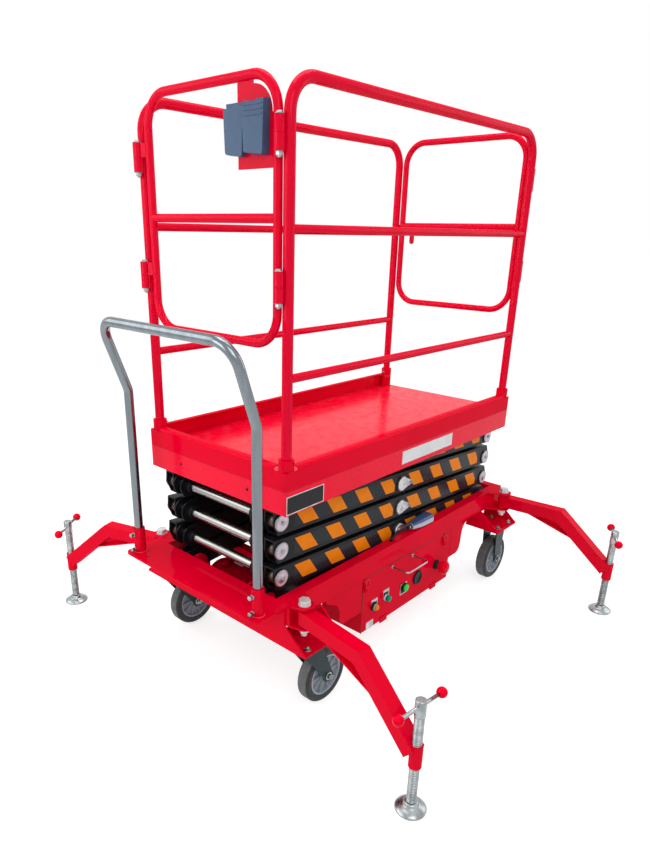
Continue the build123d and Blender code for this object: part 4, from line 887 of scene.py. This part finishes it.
def door_details():
    """Lamps, switches, gauge and stop button, their blank legends, the latches and the hinge pins, and black
    strips of painted shadow in the door's gap.
    """
    box_low, box_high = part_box("control_door")
    face = box_high.y - 3 * MM
    mid = (box_low.x + box_high.x) / 2

    def turned(name, material, place, profile, steps=36):
        u, z = place
        piece = Piece(name, "control_door", material)
        piece.lathe((mid + u * MM, face, z * MM), -Y, mms(*profile), steps)
        return piece.done()

    x = mid / MM
    for name, corners in (("lamp_legend", rectangle(x - 256, x - 216, 200, 236)),
                          ("switch_legend", rectangle(x - 178, x - 140, 208, 248)),
                          ("start_legend", rectangle(x - 58, x - 12, 176, 226))):
        plate(name, "control_door", label_silver, corners, face, 0.5)
        (x0, z0), (x1, z1) = corners[0], corners[2]
        field = rectangle(x0 + 3, x1 - 3, z0 + 3, z1 - 12)
        plate(name + "_face", "control_door", label_black, field, face, 0.7)
    plate("small_plate", "control_door", label_silver, rectangle(-217, -172, 118, 148), face, 0.5)
    top = box_high.z / MM
    left, right = box_low.x / MM, box_high.x / MM
    # Black strips along the door's top and left edges: painted shadow of the gap round the door.
    gap_shadow_z = top - 2.6
    plate("door_gap_shadow_top", "control_door", label_black, rectangle(left, right, gap_shadow_z, top), face, 0.2)
    plate("door_gap_shadow_side", "control_door", label_black, rectangle(left, left + 3, 112, gap_shadow_z), face, 0.2)
    lamp, switch, start, gauge, stop = (-240, 206), (-162, 214), (-31, 206), (65, 213), (209, 219)
    turned("lamp_bezel", black_plastic, lamp,
           [(19, 0), (19, 4), (17, 7), (14.5, 8), (14.5, 10), (13, 10)])
    turned("lamp_ring", zinc, lamp, [(14.2, 7), (14.2, 11), (13, 12.6), (11.6, 12.6), (11.6, 10)])
    turned("lamp_lens", amber_lens, lamp, [(11.5, 9), (11.5, 17), (10, 20.6), (6, 22.6), (0.5, 23)])
    turned("switch_bezel", zinc, switch,
           [(14.5, 0.8), (14.5, 4), (13, 6), (11.4, 6.4), (11.4, 12), (10.8, 12.6)])
    turned("switch_knob", teal_plastic, switch,
           [(12.4, 9), (12.4, 20), (11.4, 23), (8, 24.4), (0.5, 24.6)])
    turned("start_bezel", black_plastic, start,
           [(20, 0.8), (20, 5), (18.4, 7), (16.6, 7.6), (16, 9), (15, 9)])
    turned("start_button", green_lens, start,
           [(15.5, 6), (15.5, 12.5), (14, 15), (9, 16.6), (0.5, 16.8)])
    turned("gauge_bezel", black_plastic, gauge,
           [(31.4, 0), (31.4, 4), (29.5, 6.6), (26, 7), (24.5, 5), (0.5, 4.6)], 48)
    turned("stop_neck", black_plastic, stop,
           [(21, 0), (21, 4), (19.4, 8), (18, 20), (14.4, 21), (14.4, 40)])
    turned("stop_collar", red_plastic, stop,
           [(16, 21), (21, 21.6), (21.6, 24), (20, 27.6), (16, 28.4)])
    stop_head = turned("stop_head", red_plastic, stop,
                       [(15, 30), (26, 31), (29, 34), (29.6, 40), (29.4, 48), (27.6, 52), (24, 55.4),
                        (17, 58.2), (9, 59.6), (0.5, 60)], 48)
    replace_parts(stop_head, "door_controls")
    latches = Piece("door_latches", "control_door", red)
    wires = Piece("door_latch_wires", "control_door", red_weld)
    for u, z in ((-296, 315), (262, 313)):
        at = Vector((mid + u * MM, face, z * MM))
        outline = mms((-14, -20), (14, -20), (14, 18), (-14, 18))
        latches.prism(outline, at, X, -Y, 3 * MM, 0.6 * MM)
        outline = mms((-9, -14), (9, -14), (11, 10), (-11, 10))
        latches.prism(outline, at - Y * 3 * MM, X, -Y, 9 * MM, 3 * MM)
        for dx in (-10, 10):
            wires.tube([at + mm(dx, -6, -8), at + mm(dx, -9, 8), at + mm(dx * 0.9, -5, 30)], 1.6 * MM, 10)
        wires.tube([at + mm(-9.5, -5, 30), at + mm(9.5, -5, 30)], 1.6 * MM, 10)
        for dz in (-16, 14):
            wires.lathe(at + mm(0, -3, dz), -Y, mms((2.6, -0.4), (2.6, 0.8), (1.6, 1.6)), 16)
    latches.done()
    wires.done()
    hinge = Piece("door_hinge_pins", "control_door", zinc)
    for u in (-168, 200):
        at = Vector((mid + u * MM, box_low.y + 3.2 * MM, 108 * MM))
        hinge.tube([at - X * 24.5 * MM, at + X * 24.5 * MM], 2.6 * MM, 14)
    hinge.done()
    feet = Piece("pull_feet", "control_door", cap_rim)
    for u in (-128, 14):
        feet.lathe((mid + u * MM, face, 335 * MM), -Y, mms((8, -0.2), (8, 1.6), (5.6, 4), (3.9, 4.4)), 24)
    feet.done()


chassis_details()
hydraulic_tank()
door_details()

# ------------------------------------------------------------------------ stage and light
def surround_rays(tree):
    """1 for camera, glossy and transmission rays, which all see the white surround."""
    path = tree.nodes.new("ShaderNodeLightPath")
    seen = path.outputs["Is Camera Ray"]
    for ray in ("Is Glossy Ray", "Is Transmission Ray"):
        either = tree.nodes.new("ShaderNodeMath")
        either.operation = "MAXIMUM"
        tree.links.new(seen, either.inputs[0])
        tree.links.new(path.outputs[ray], either.inputs[1])
        seen = either.outputs[0]
    return seen


def stage():
    """White floor that keeps the object's shadow, and a white surround."""
    bpy.ops.mesh.primitive_plane_add(size=60, location=(0, 0, 0))
    floor = bpy.context.object
    floor.name = "studio_floor"
    f = Finish("studio_floor", (0.80, 0.80, 0.80), 0.8, spec=0.0)
    f.mix_color(f.ramp(f.noise(0.7), 0.4, 0.7, 0.0, 0.4), (0.78, 0.78, 0.78))
    pale = f.node("ShaderNodeBsdfDiffuse")
    pale.inputs["Color"].default_value = (0.44, 0.44, 0.44, 1)
    glow = f.node("ShaderNodeEmission")
    glow.inputs["Color"].default_value = (1, 1, 1, 1)
    glow.inputs["Strength"].default_value = 0.74
    both = f.node("ShaderNodeAddShader")
    f.link(pale.outputs[0], both.inputs[0])
    f.link(glow.outputs[0], both.inputs[1])
    mix = f.node("ShaderNodeMixShader")
    f.link(surround_rays(f.tree), mix.inputs["Fac"])
    f.link(f.shader.outputs[0], mix.inputs[1])
    f.link(both.outputs[0], mix.inputs[2])
    f.link(mix.outputs[0], f.tree.nodes["Material Output"].inputs["Surface"])
    floor.data.materials.append(f.material)

    world = bpy.data.worlds.new("studio")
    world.use_nodes = True
    bpy.context.scene.world = world
    tree = world.node_tree
    fill = tree.nodes["Background"]
    fill.inputs["Color"].default_value = (0.96, 0.98, 1.0, 1)
    fill.inputs["Strength"].default_value = 0.62
    white = tree.nodes.new("ShaderNodeBackground")
    white.inputs["Color"].default_value = (1, 1, 1, 1)
    white.inputs["Strength"].default_value = 1.0
    mix = tree.nodes.new("ShaderNodeMixShader")
    tree.links.new(surround_rays(tree), mix.inputs["Fac"])
    tree.links.new(fill.outputs[0], mix.inputs[1])
    tree.links.new(white.outputs[0], mix.inputs[2])
    tree.links.new(mix.outputs[0], tree.nodes["World Output"].inputs["Surface"])


def area_light(name, at, target, size, energy):
    """Soft box that looks at a target."""
    data = bpy.data.lights.new(name, "AREA")
    data.shape = "RECTANGLE"
    data.size, data.size_y = size
    data.energy = energy
    lamp = bpy.data.objects.new(name, data)
    bpy.context.scene.collection.objects.link(lamp)
    lamp.location = at
    lamp.rotation_euler = (Vector(target) - Vector(at)).to_track_quat("-Z", "Y").to_euler()


stage()
area_light("key", (-2.4, -3.0, 3.4), (0, 0, 0.9), (2.4, 2.4), 52)
area_light("top", (0.2, 0.3, 4.6), (0, 0, 0.8), (3.2, 2.2), 88)
area_light("side", (3.6, -2.2, 2.2), (0, 0, 0.8), (2.0, 2.6), 24)
area_light("back", (-2.6, 3.0, 2.6), (0, 0, 1.0), (2.0, 2.4), 30)
area_light("tail", (-2.6, 0.5, 1.5), (-0.7, 0, 0.5), (1.2, 1.2), 14)
bpy.context.scene.view_settings.view_transform = "Standard"
